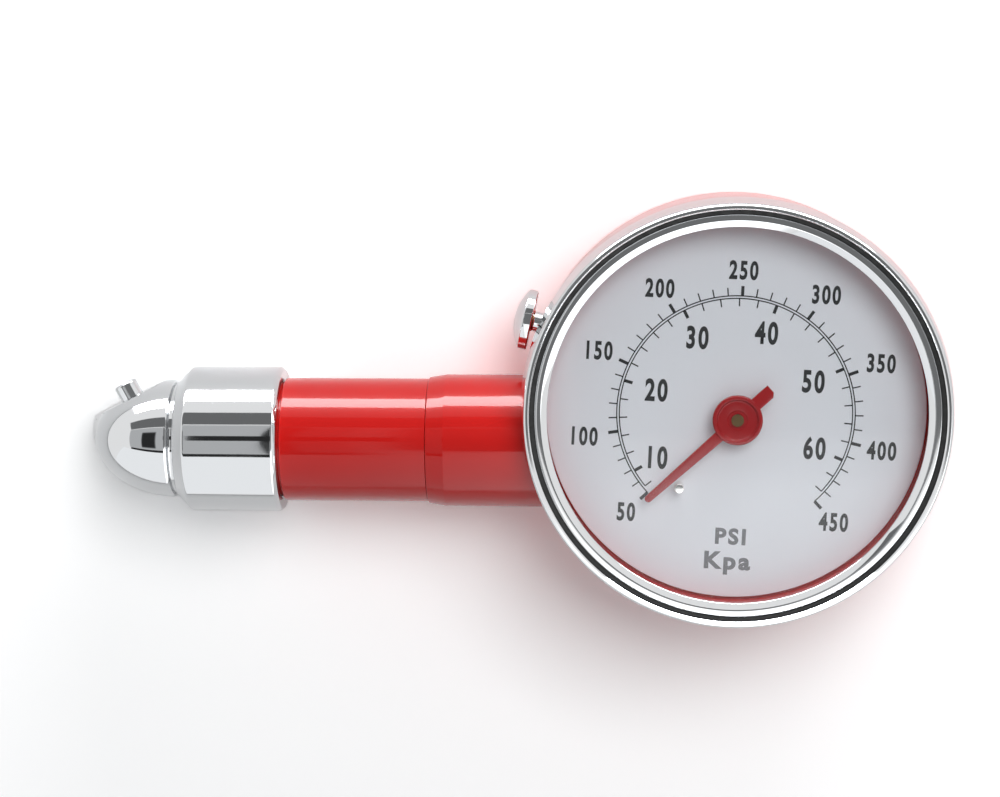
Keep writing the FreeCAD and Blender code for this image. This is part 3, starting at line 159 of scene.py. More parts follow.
def noise(tree: bpy.types.NodeTree, scale: float, detail: float = 3.0,
          stretch: Optional[Vector] = None) -> bpy.types.NodeSocket:
    """Noise on the piece's own coordinates.

    Args:
        tree: The node tree to add to.
        scale: Noise scale, per metre.
        detail: Octaves of noise.
        stretch: Scale along each axis, for brushed or drawn marks.

    Returns:
        The noise's value socket.
    """
    source = add_node(tree, "TexCoord").outputs["Object"]
    if stretch is not None:
        source = add_node(tree, "Mapping", {"Vector": source, "Scale": stretch}).outputs["Vector"]
    texture = add_node(tree, "TexNoise", {"Vector": source, "Scale": scale, "Detail": detail})
    return texture.outputs["Fac"]


def ranged(tree: bpy.types.NodeTree, source: bpy.types.NodeSocket, low: float, high: float,
           start: float = 0.3, stop: float = 0.7) -> bpy.types.NodeSocket:
    """Map a value onto a range.

    Args:
        tree: The node tree to add to.
        source: The value to map.
        low: Result at the start.
        high: Result at the stop.
        start: Value that gives the low result.
        stop: Value that gives the high result.

    Returns:
        The mapped value's socket.
    """
    ends = {"From Min": start, "From Max": stop, "To Min": low, "To Max": high}
    return add_node(tree, "MapRange", {"Value": source, **ends}).outputs["Result"]


def vary_roughness(tree: bpy.types.NodeTree, shader: bpy.types.Node, scale: float, low: float,
                   high: float) -> None:
    """Let the roughness wander between two values.

    Args:
        tree: The material's node tree.
        shader: Its Principled shader.
        scale: Noise scale, per metre.
        low: Lowest roughness.
        high: Highest roughness.
    """
    tree.links.new(ranged(tree, noise(tree, scale), low, high), shader.inputs["Roughness"])


def vary_colour(tree: bpy.types.NodeTree, shader: bpy.types.Node, scale: float, first: Colour,
                second: Colour) -> None:
    """Let the colour wander between two tones.

    Args:
        tree: The material's node tree.
        shader: Its Principled shader.
        scale: Noise scale, per metre.
        first: One tone.
        second: The other tone.
    """
    mix = add_node(tree, "Mix", {"Factor": ranged(tree, noise(tree, scale), 0.0, 1.0), "A": (*first, 1.0),
                                 "B": (*second, 1.0)}, data_type="RGBA")
    tree.links.new(mix.outputs["Result"], shader.inputs["Base Color"])


def add_bump(tree: bpy.types.NodeTree, shader: bpy.types.Node, height: bpy.types.NodeSocket, strength: float,
             distance: float) -> None:
    """Raise the surface by a height value.

    Args:
        tree: The material's node tree.
        shader: Its Principled shader.
        height: The height value's socket.
        strength: How strongly it shows.
        distance: Height in metres.
    """
    bump = add_node(tree, "Bump", {"Strength": strength, "Distance": distance, "Height": height})
    tree.links.new(bump.outputs["Normal"], shader.inputs["Normal"])


@dataclass(frozen=True)
class ChromePlate(Finish):
    """Bright plate over a polished casting, with faint polishing waves and wipe marks."""

    wave: float = 0.04

    def detail(self, tree: bpy.types.NodeTree, shader: bpy.types.Node) -> None:
        """Add wipe marks to the roughness and a slow polishing wave."""
        vary_roughness(tree, shader, 260.0, self.roughness * 0.6, self.roughness * 1.6)
        add_bump(tree, shader, noise(tree, 120.0, 1.0), self.wave, 0.0004)


@dataclass(frozen=True)
class Enamel(Finish):
    """Sprayed gloss enamel with a slight orange peel under a clear coat."""

    deep: Colour = (0.57, 0.007, 0.005)
    peel: float = 0.015

    def detail(self, tree: bpy.types.NodeTree, shader: bpy.types.Node) -> None:
        """Add tone, coat and orange peel."""
        vary_colour(tree, shader, 60.0, self.colour, self.deep)
        vary_roughness(tree, shader, 45.0, self.roughness * 0.96, self.roughness * 1.05)
        shader.inputs["Specular IOR Level"].default_value = 0.1
        shader.inputs["Coat Weight"].default_value = 1.0
        shader.inputs["Coat IOR"].default_value = 1.33
        shader.inputs["Coat Roughness"].default_value = 0.05
        add_bump(tree, shader, noise(tree, 300.0, 0.0), self.peel, 0.00006)


@dataclass(frozen=True)
class DialGround(Finish):
    """Satin off-white printed ground on a pressed metal disc."""

    shade: Colour = (0.82, 0.835, 0.87)

    def detail(self, tree: bpy.types.NodeTree, shader: bpy.types.Node) -> None:
        """Add a very fine grain and a faint change of tone."""
        vary_colour(tree, shader, 40.0, self.colour, self.shade)
        vary_roughness(tree, shader, 1500.0, self.roughness * 0.9, self.roughness * 1.1)
        add_bump(tree, shader, noise(tree, 6000.0, 2.0), 0.04, 0.00002)


@dataclass(frozen=True)
class Brushed(Finish):
    """Turned or brushed metal, with fine marks drawn out along one way."""

    stretch: tuple[float, float, float] = (1.0, 1.0, 14.0)

    def detail(self, tree: bpy.types.NodeTree, shader: bpy.types.Node) -> None:
        """Add drawn marks to the roughness and the surface."""
        marks = noise(tree, 700.0, 4.0, Vector(self.stretch))
        rough = ranged(tree, marks, self.roughness * 0.7, self.roughness * 1.4)
        tree.links.new(rough, shader.inputs["Roughness"])
        add_bump(tree, shader, marks, 0.08, 0.00004)


@dataclass(frozen=True)
class ClearWindow(Finish):
    """Clear moulded window: glass for the eye, open to light so that the dial is lit as in the open."""

    index: float = 1.36

    def build(self) -> bpy.types.Material:
        """Make a thin clear sheet: mostly see-through, with a mirror film that grows at a glancing look.

        Returns:
            A new material with its nodes set.
        """
        material = bpy.data.materials.new(self.name)
        tree = bare_tree(material)
        clear = add_node(tree, "BsdfTransparent", {"Color": (*self.colour, 1.0)})
        gloss = add_node(tree, "BsdfGlossy", {"Roughness": self.roughness})
        side = add_node(tree, "NewGeometry")
        index = ranged(tree, side.outputs["Backfacing"], self.index, 1.0 / self.index, 0.0, 1.0)
        film = add_node(tree, "Fresnel", {"IOR": index})
        show_mix(tree, film.outputs["Fac"], clear.outputs["BSDF"], gloss.outputs["BSDF"])
        return material


CHROME = ChromePlate("bright_chrome", (0.71, 0.72, 0.73), 0.04, 1.0)
RED_ENAMEL = Enamel("red_enamel", (0.62, 0.008, 0.006), 0.3)
POINTER_RED = Enamel("pointer_red", (0.40, 0.005, 0.008), 0.4, deep=(0.34, 0.004, 0.006), peel=0.02)
DIAL_WHITE = DialGround("dial_ground", (0.85, 0.865, 0.90), 0.5)
INK = Finish("printing_ink", (0.008, 0.008, 0.009), 0.55)
GREY_INK = Finish("grey_printing_ink", (0.16, 0.16, 0.17), 0.55)
RUBBER = Finish("black_rubber", (0.02, 0.02, 0.021), 0.6)
# Painted shade: a near-black finish that stands in for the shadow deep in the bezel's groove.
GROOVE_SHADE = Finish("painted_groove_shade", (0.007, 0.007, 0.007), 0.7)
BRASS = Brushed("turned_brass", (0.72, 0.52, 0.20), 0.3, 1.0)
AGED_BRASS = Brushed("aged_brass", (0.13, 0.085, 0.04), 0.36, 1.0)
BRONZE = Brushed("spring_bronze", (0.62, 0.38, 0.16), 0.3, 1.0)
STEEL = Brushed("plain_steel", (0.56, 0.56, 0.58), 0.28, 1.0)
PALE_PIN = Brushed("pale_steel", (0.82, 0.81, 0.78), 0.14, 1.0)
WINDOW = ClearWindow("clear_window", (0.985, 0.99, 0.995), 0.03)

# Outlines and turning


@dataclass(frozen=True)
class Corner:
    """One corner of a turned outline, in millimetres.

    Attributes:
        radius: Distance from the turning axis.
        along: Place along the turning axis.
        rounding: Radius of the corner's round; 0 leaves it sharp.
    """

    radius: float
    along: float
    rounding: float = 0.0


FEWEST_STEPS = 4
STEPS_PER_MM = 4.0
TURN_STEPS = 224
SMALL_STEPS = 72
HOLD = 0.05
HOLD_LENGTH = 1.0
HOLD_ANGLE = math.radians(4.0)


def rounded(corners: Sequence[Corner]) -> list[Point]:
    """Walk round a closed outline and put an arc at each corner that has a rounding.

    Args:
        corners: The outline's corners in order.

    Returns:
        Points as radius and place along the axis.
    """
    points: list[Point] = []
    for index, corner in enumerate(corners):
        here = Vector((corner.radius, corner.along))
        before = corners[index - 1]
        after = corners[(index + 1) % len(corners)]
        back = (Vector((before.radius, before.along)) - here).normalized()
        ahead = (Vector((after.radius, after.along)) - here).normalized()
        opening = back.angle(ahead) if corner.rounding else math.pi
        if opening > math.radians(178.0):
            points.append((here.x, here.y))
            continue
        reach = corner.rounding / math.tan(opening / 2)
        middle = here + (back + ahead).normalized() * (corner.rounding / math.sin(opening / 2))
        first = here + back * reach - middle
        last = here + ahead * reach - middle
        turn = math.pi - opening
        side = 1.0 if first.x * last.y - first.y * last.x > 0 else -1.0
        steps = FEWEST_STEPS + round(corner.rounding * STEPS_PER_MM)
        for step in range(steps + 1):
            angle = side * turn * step / steps
            points.append((middle.x + first.x * math.cos(angle) - first.y * math.sin(angle),
                           middle.y + first.x * math.sin(angle) + first.y * math.cos(angle)))
    return held(points)


def held(points: Sequence[Point]) -> list[Point]:
    """Add a point close to each end of every long straight stretch, so that rounds don't bend its shading.

    Args:
        points: The outline's points in order.

    Returns:
        The points with the added ones.
    """
    kept: list[Point] = []
    places = [Vector(point) for point in points]
    for index, here in enumerate(places):
        kept.append(points[index])
        following = places[(index + 1) % len(places)]
        ahead = following - here
        if ahead.length < HOLD_LENGTH:
            continue
        back = here - places[index - 1]
        beyond = places[(index + 2) % len(places)] - following
        if back.length and back.angle(ahead) > HOLD_ANGLE:
            kept.append(tuple(here + ahead.normalized() * HOLD))
        if beyond.length and ahead.angle(beyond) > HOLD_ANGLE:
            kept.append(tuple(following - ahead.normalized() * HOLD))
    return kept


def domed(radius: float, base: float, rise: float, steps: int = 28) -> list[Point]:
    """Points of a spherical cap, from the axis out to its rim.

    Args:
        radius: Radius of the rim.
        base: Height of the rim.
        rise: Height of the crown above the rim.
        steps: Number of straight stretches.

    Returns:
        Points as radius and height.
    """
    sphere = (radius * radius + rise * rise) / (2 * rise)
    points = []
    for step in range(steps + 1):
        out = radius * step / steps
        points.append((out, base + rise - sphere + math.sqrt(sphere * sphere - out * out)))
    return points


def turned(outline: Sequence[Point], steps: int = TURN_STEPS, closed: bool = True) -> bmesh.types.BMesh:
    """Spin an outline once round Z.

    Args:
        outline: Radius and height of each point.
        steps: Number of stretches round the turn.
        closed: Whether the last point joins the first. An outline that ends on the axis stays open.

    Returns:
        The turned mesh, in millimetres.
    """
    mesh = bmesh.new()
    verts = [mesh.verts.new((radius, 0.0, height)) for radius, height in outline]
    pairs = list(zip(verts, verts[1:]))
    if closed:
        pairs.append((verts[-1], verts[0]))
    edges = [mesh.edges.new(pair) for pair in pairs]
    bmesh.ops.spin(mesh, geom=verts + edges, cent=(0, 0, 0), axis=(0, 0, 1), dvec=(0, 0, 0), angle=FULL_TURN,
                   steps=steps, use_merge=True, use_normal_flip=False, use_duplicate=False)
    bmesh.ops.remove_doubles(mesh, verts=mesh.verts, dist=0.0005)
    bmesh.ops.recalc_face_normals(mesh, faces=mesh.faces)
    return mesh


def solid_of_turn(corners: Sequence[Corner], steps: int = TURN_STEPS) -> bmesh.types.BMesh:
    """A turned solid from its corners, open on the axis where it starts and ends there.

    Args:
        corners: The outline's corners in order.
        steps: Number of stretches round the turn.

    Returns:
        The turned mesh, in millimetres.
    """
    on_axis = corners[0].radius == 0.0 and corners[-1].radius == 0.0
    return turned(rounded(corners), steps, closed=not on_axis)


def prism(outline: Sequence[Point], low: float, high: float, edge: float = 0.0,
          segments: int = 3) -> bmesh.types.BMesh:
    """A flat plate with straight sides, its upper and lower rims eased.

    Args:
        outline: Corners of the plate, anticlockwise.
        low: Height of its underside.
        high: Height of its top.
        edge: Width of the eased rim.
        segments: Steps in the rim.

    Returns:
        The plate, in millimetres.
    """
    mesh = bmesh.new()
    base = mesh.faces.new([mesh.verts.new((x, y, low)) for x, y in outline])
    grown = bmesh.ops.extrude_face_region(mesh, geom=[base])["geom"]
    bmesh.ops.translate(mesh, verts=[item for item in grown if isinstance(item, bmesh.types.BMVert)],
                        vec=(0, 0, high - low))
    bmesh.ops.recalc_face_normals(mesh, faces=mesh.faces)
    if edge:
        rims = [item for item in mesh.edges
                if any(abs(face.normal.z) > 0.9 for face in item.link_faces)
                and any(abs(face.normal.z) < 0.1 for face in item.link_faces)]
        bmesh.ops.bevel(mesh, geom=rims, offset=edge, segments=segments, profile=0.5, affect="EDGES",
                        material=-1)
    return mesh


def moved(mesh: bmesh.types.BMesh, place: Matrix) -> bmesh.types.BMesh:
    """Place a mesh.

    Args:
        mesh: The mesh to move.
        place: Where it goes, in millimetres.

    Returns:
        The same mesh.
    """
    bmesh.ops.transform(mesh, matrix=place, verts=mesh.verts)
    return mesh


def as_object(name: str, mesh: bmesh.types.BMesh) -> bpy.types.Object:
    """Make an object from a mesh in millimetres; the object itself stays at the origin.

    Args:
        name: The object's name.
        mesh: The mesh, which is used up.

    Returns:
        The new object.
    """
    bmesh.ops.scale(mesh, vec=(MM, MM, MM), verts=mesh.verts)
    data = bpy.data.meshes.new(name)
    mesh.to_mesh(data)
    mesh.free()
    made = bpy.data.objects.new(name, data)
    bpy.context.scene.collection.objects.link(made)
    return made


class Cut(Enum):
    """What one solid does to another."""

    UNION = "UNION"
    TAKE = "DIFFERENCE"


def carved(target: bpy.types.Object, tools: Sequence[tuple[bpy.types.Object, Cut]]) -> bpy.types.Object:
    """Join or cut solids one after another and keep the result as the target's own mesh.

    Args:
        target: The solid that stays.
        tools: Solids to add or take away; each is removed afterwards.

    Returns:
        The target.
    """
    for tool, kind in tools:
        modifier = target.modifiers.new(kind.value.lower(), "BOOLEAN")
        modifier.operation = kind.value
        modifier.solver = "EXACT"
        modifier.object = tool
    evaluated = target.evaluated_get(bpy.context.evaluated_depsgraph_get())
    data = bpy.data.meshes.new_from_object(evaluated)
    target.modifiers.clear()
    old = target.data
    target.data = data
    bpy.data.meshes.remove(old)
    for tool, _ in tools:
        used = tool.data
        bpy.data.objects.remove(tool)
        bpy.data.meshes.remove(used)
    return target


def smooth(thing: bpy.types.Object, edge: Edge) -> bpy.types.Object:
    """Shade smooth, with edges over an angle kept hard.

    Args:
        thing: The object.
        edge: How sharp an edge must be to stay hard.

    Returns:
        The same object.
    """
    limit = math.radians(edge.value)
    work = bmesh.new()
    work.from_mesh(thing.data)
    for face in work.faces:
        face.smooth = True
    for item in work.edges:
        item.smooth = len(item.link_faces) == 2 and item.calc_face_angle(0.0) < limit
    work.to_mesh(thing.data)
    work.free()
    return thing


@dataclass
class Workshop:
    """Finishes pieces: keeps one material of each finish and ties pieces to bodies and nodes."""

    materials: dict[str, bpy.types.Material] = field(default_factory=dict)

    def material(self, finish: Finish) -> bpy.types.Material:
        """The one material of a finish.

        Args:
            finish: The finish.

        Returns:
            Its material, built on first use.
        """
        if finish.name not in self.materials:
            self.materials[finish.name] = finish.build()
        return self.materials[finish.name]

    def paint(self, thing: bpy.types.Object, finish: Finish) -> None:
        """Give a piece one finish.

        Args:
            thing: The piece.
            finish: Its finish.
        """
        thing.data.materials.clear()
        thing.data.materials.append(self.material(finish))

    def fit(self, thing: bpy.types.Object, finish: Finish, body: str = "case",
            replaces: Sequence[str] = (), edge: Edge = Edge.TURNED) -> bpy.types.Object:
        """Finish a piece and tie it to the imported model.

        Args:
            thing: The piece.
            finish: Its finish.
            body: The body that it moves with.
            replaces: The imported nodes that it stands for.
            edge: How sharp an edge must be to stay hard.

        Returns:
            The piece.
        """
        smooth(thing, edge)
        self.paint(thing, finish)
        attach(thing, body)
        if replaces:
            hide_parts(*replaces)
        return thing


# Places of the turned pieces, in millimetres

HANDLE_Y = -6.0
HANDLE_Z = 13.0
ALONG_HANDLE = Matrix.Translation((0, HANDLE_Y, HANDLE_Z)) @ Matrix.Rotation(math.radians(90.0), 4, "Y")
MOUTH_X = -90.5
MOUTH_TILT = math.radians(15.0)
MOUTH = Matrix.Translation((MOUTH_X, HANDLE_Y, HANDLE_Z)) @ Matrix.Rotation(math.pi + MOUTH_TILT, 4, "Y")
RELEASE = Vector((-30.1, 12.2, HANDLE_Z))
RELEASE_ANGLE = math.radians(-12.8)
RELEASE_LINE = (Matrix.Translation(RELEASE) @ Matrix.Rotation(RELEASE_ANGLE, 4, "Z")
                @ Matrix.Rotation(math.radians(-90.0), 4, "Y"))
FLAT = Vector((-92.8, HANDLE_Y + 5.33, HANDLE_Z))
FLAT_ANGLE = math.radians(27.7)
HUB = Vector((0.2, -0.9, 0.0))
POINTER_ANGLE = math.radians(222.2)


def straight(radius: float, start: float, stop: float, steps: int = SMALL_STEPS) -> bmesh.types.BMesh:
    """A plain round bar about Z.

    Args:
        radius: Its radius.
        start: Its lower end.
        stop: Its upper end.
        steps: Number of sides.

    Returns:
        The bar, in millimetres.
    """
    line = [Corner(0, start), Corner(radius, start), Corner(radius, stop), Corner(0, stop)]
    return solid_of_turn(line, steps)


def brick(low: Vector, high: Vector, place: Matrix = Matrix.Identity(4)) -> bmesh.types.BMesh:
    """A plain box between two corners.

    Args:
        low: Its lowest corner.
        high: Its highest corner.
        place: Where the box goes afterwards.

    Returns:
        The box, in millimetres.
    """
    mesh = bmesh.new()
    bmesh.ops.create_cube(mesh, size=1.0)
    bmesh.ops.scale(mesh, vec=high - low, verts=mesh.verts)
    bmesh.ops.translate(mesh, vec=(low + high) / 2, verts=mesh.verts)
    return moved(mesh, place)


# Sub-assemblies


@dataclass(frozen=True)
class Window:
    """Bezel, a near-black ring painted into its groove as the groove's shade, and the clear window."""

    bore: float = 30.5
    foot_radius: float = 31.5
    foot: float = 23.2
    crown: float = 30.9
    top: float = 29.0
    rim_inner: float = 30.35
    joint_outer: float = 29.92
    joint_inner: float = 29.25
    joint_floor: float = 27.72
    band: float = 28.2
    band_inner: float = 28.3
    lip: float = 27.4
    lip_top: float = 27.5
    underside: float = 27.1
    lens_radius: float = 30.2
    lens_thickness: float = 1.5
    dome_radius: float = 27.2
    dome_rise: float = 0.9

    def ring(self) -> bpy.types.Object:
        """The bezel: foot, leaning side, rolled rim, slope into the groove, band and lip."""
        return as_object("bezel_ring", solid_of_turn([
            Corner(self.bore, self.foot), Corner(self.foot_radius, self.foot, 0.25),
            Corner(self.crown, self.top - 0.8), Corner(self.crown, self.top, 0.78),
            Corner(self.rim_inner, self.top, 0.22), Corner(self.joint_outer, self.top - 0.42, 0.08),
            Corner(self.joint_outer, self.joint_floor), Corner(self.joint_inner, self.joint_floor),
            Corner(self.joint_inner, self.band, 0.2), Corner(self.band_inner, self.band, 0.3),
            Corner(self.lip, self.lip_top, 0.12), Corner(self.lip, self.underside, 0.1),
            Corner(self.bore, self.underside)]))

    def joint(self) -> bpy.types.Object:
        """Painted shade: a near-black ring that fills the groove between the rolled rim and the flat band,
        standing in for its shadow.
        """
        return as_object("bezel_groove_shade", solid_of_turn([
            Corner(self.joint_inner, self.joint_floor), Corner(self.joint_outer, self.joint_floor),
            Corner(self.joint_outer, self.band + 0.1, 0.1), Corner(self.joint_inner, self.band - 0.12, 0.1)]))

    def lens(self) -> bpy.types.Object:
        """The window, with a flat edge under the lip and a shallow dome inside it."""
        seat = self.underside - self.lens_thickness
        edge = [Corner(self.lens_radius, seat, 0.15), Corner(self.lens_radius, self.underside, 0.15)]
        lower = [Corner(*point) for point in domed(self.dome_radius, seat, self.dome_rise)]
        upper = [Corner(*point)
                 for point in reversed(domed(self.dome_radius, self.underside, self.dome_rise))]
        return as_object("lens_window", solid_of_turn([*lower, *edge, *upper]))

    def build(self, shop: Workshop) -> None:
        """Make and finish the three pieces.

        Args:
            shop: Finishes the pieces.
        """
        shop.fit(self.ring(), CHROME, replaces=["bezel"], edge=Edge.SOFT)
        # Near-black ring painted into the bezel's groove as its shade.
        shop.fit(self.joint(), GROOVE_SHADE)
        shop.fit(self.lens(), WINDOW, replaces=["lens"], edge=Edge.TURNED)


@dataclass(frozen=True)
class Case:
    """Red cup with the handle's neck, its bores, and the screws in its back."""

    radius: float = 30.9
    round: float = 3.0
    shoulder: float = 23.2
    rim_radius: float = 30.4
    rim: float = 24.8
    bore: float = 28.0
    ledge: float = 21.2
    inner: float = 27.0
    back: float = 2.5
    neck_end: float = -45.6
    neck_shoulder: float = -43.0
    neck_radius: float = 9.95
    neck_end_radius: float = 9.55
    socket_radius: float = 6.45
    socket_stop: float = -35.55
    passage_radius: float = 2.3
    passage_end: float = -21.5
    button_hole: float = 2.5
    button_hole_start: float = -7.9
    screw_y: float = 3.0
    screws_x: tuple[float, float] = (-17.5, 3.0)
    screw_hole: float = 1.2
    screw_shank: float = 1.1
    screw_end: float = 6.0
    screw_head: float = 2.1
    head_height: float = 1.2
    recess: float = 1.4

    def cup(self) -> bpy.types.Object:
        """The cup alone, hollow, with its ledge and rim."""
        return as_object("case_body", solid_of_turn([
            Corner(0, 0), Corner(self.radius, 0, self.round), Corner(self.radius, self.shoulder, 0.15),
            Corner(self.rim_radius, self.shoulder), Corner(self.rim_radius, self.rim, 0.1),
            Corner(self.bore, self.rim, 0.12), Corner(self.bore, self.ledge),
            Corner(self.inner, self.ledge, 0.1), Corner(self.inner, self.back, 0.8), Corner(0, self.back)]))

    def neck(self) -> bpy.types.Object:
        """The neck, which runs through the wall of the cup."""
        mesh = solid_of_turn([
            Corner(0, self.neck_end), Corner(self.neck_end_radius, self.neck_end, 0.12),
            Corner(self.neck_radius, self.neck_shoulder, 1.2), Corner(self.neck_radius, -self.inner),
            Corner(0, -self.inner)], TURN_STEPS // 2)
        return as_object("neck_form", moved(mesh, ALONG_HANDLE))

    def hollows(self) -> list[bpy.types.Object]:
        """Everything that is bored out of the case."""
        meshes = [straight(self.bore - 0.01, self.ledge + 0.005, self.rim + 1, TURN_STEPS),
                  moved(straight(self.socket_radius, self.neck_end - 1, self.socket_stop), ALONG_HANDLE),
                  moved(straight(self.passage_radius, self.neck_end, self.passage_end), ALONG_HANDLE),
                  moved(straight(self.button_hole, self.button_hole_start, 0), RELEASE_LINE)]
        for x in self.screws_x:
            place = Matrix.Translation((x, self.screw_y, 0))
            meshes.append(moved(straight(self.screw_hole, -1, self.back + 1), place))
            meshes.append(moved(straight(self.screw_head + 0.1, -1, self.recess), place))
        return [as_object("hollow_form_%d" % number, mesh) for number, mesh in enumerate(meshes)]

    def screw(self, x: float) -> bpy.types.Object:
        """One slotted screw in the back.

        Args:
            x: Its place along the case.

        Returns:
            The screw.
        """
        low = self.recess - self.head_height
        place = Matrix.Translation((x, self.screw_y, 0))
        form = solid_of_turn([
            Corner(0, low), Corner(self.screw_head, low, 0.3), Corner(self.screw_head, self.recess, 0.05),
            Corner(self.screw_shank, self.recess), Corner(self.screw_shank, self.screw_end, 0.2),
            Corner(0, self.screw_end)], SMALL_STEPS)
        slot = brick(Vector((-4, -0.2, low - 1)), Vector((4, 0.2, low + 0.45)), place)
        return carved(as_object("case_screw", moved(form, place)), [(as_object("slot_form", slot), Cut.TAKE)])

    def build(self, shop: Workshop) -> None:
        """Make and finish the case and its screws.

        Args:
            shop: Finishes the pieces.
        """
        tools = [(self.neck(), Cut.UNION), *((hollow, Cut.TAKE) for hollow in self.hollows())]
        shop.fit(carved(self.cup(), tools), RED_ENAMEL, replaces=["rear_case"])
        for x in self.screws_x:
            shop.fit(self.screw(x), STEEL, replaces=["case_screws"])


@dataclass(frozen=True)
class Handle:
    """Red tube between the neck and the collar, and the chrome collar."""

    tube_radius: float = 9.3
    spigot: float = 6.4
    seat: float = 8.6
    start: float = -75.7
    step: float = -67.4
    end: float = -45.65
    spigot_end: float = -35.65
    valve_bore: float = 4.5
    valve_floor: float = -61.5
    port: float = 2.96
    port_end: float = -59.3
    air_bore: float = 2.3
    collar_radius: float = 11.0
    collar_start: float = -83.4
    collar_end: float = -67.7
    collar_taper: float = 1.9

    def tube(self) -> bpy.types.Object:
        """The tube with its two spigots and the bore of the check valve."""
        mesh = solid_of_turn([
            Corner(self.valve_bore, self.start), Corner(self.seat, self.start, 0.3),
            Corner(self.seat, self.step), Corner(self.tube_radius, self.step, 0.3),
            Corner(self.tube_radius, self.end, 0.12),
            Corner(self.spigot, self.end), Corner(self.spigot, self.spigot_end, 0.3),
            Corner(self.air_bore, self.spigot_end), Corner(self.air_bore, self.port_end),
            Corner(self.port, self.port_end), Corner(self.port, self.valve_floor),
            Corner(self.valve_bore, self.valve_floor)])
        return as_object("grip_tube", moved(mesh, ALONG_HANDLE))

    def collar(self) -> bpy.types.Object:
        """The sleeve with a tapered shoulder towards the chuck."""
        bore = self.seat + 0.05
        mesh = solid_of_turn([
            Corner(bore, self.collar_start),
            Corner(self.collar_radius - self.collar_taper, self.collar_start, 0.2),
            Corner(self.collar_radius, self.collar_start + self.collar_taper, 0.6),
            Corner(self.collar_radius, self.collar_end - 0.5, 0.3),
            Corner(self.collar_radius - 0.5, self.collar_end, 0.15), Corner(bore + 0.5, self.collar_end, 0.1),
            Corner(bore, self.collar_end - 0.5)])
        return as_object("chrome_collar", moved(mesh, ALONG_HANDLE))

    def build(self, shop: Workshop) -> None:
        """Make and finish the tube and the collar.

        Args:
            shop: Finishes the pieces.
        """
        shop.fit(self.tube(), RED_ENAMEL, replaces=["handle_tube"])
        shop.fit(self.collar(), CHROME, replaces=["collar"], edge=Edge.SOFT)


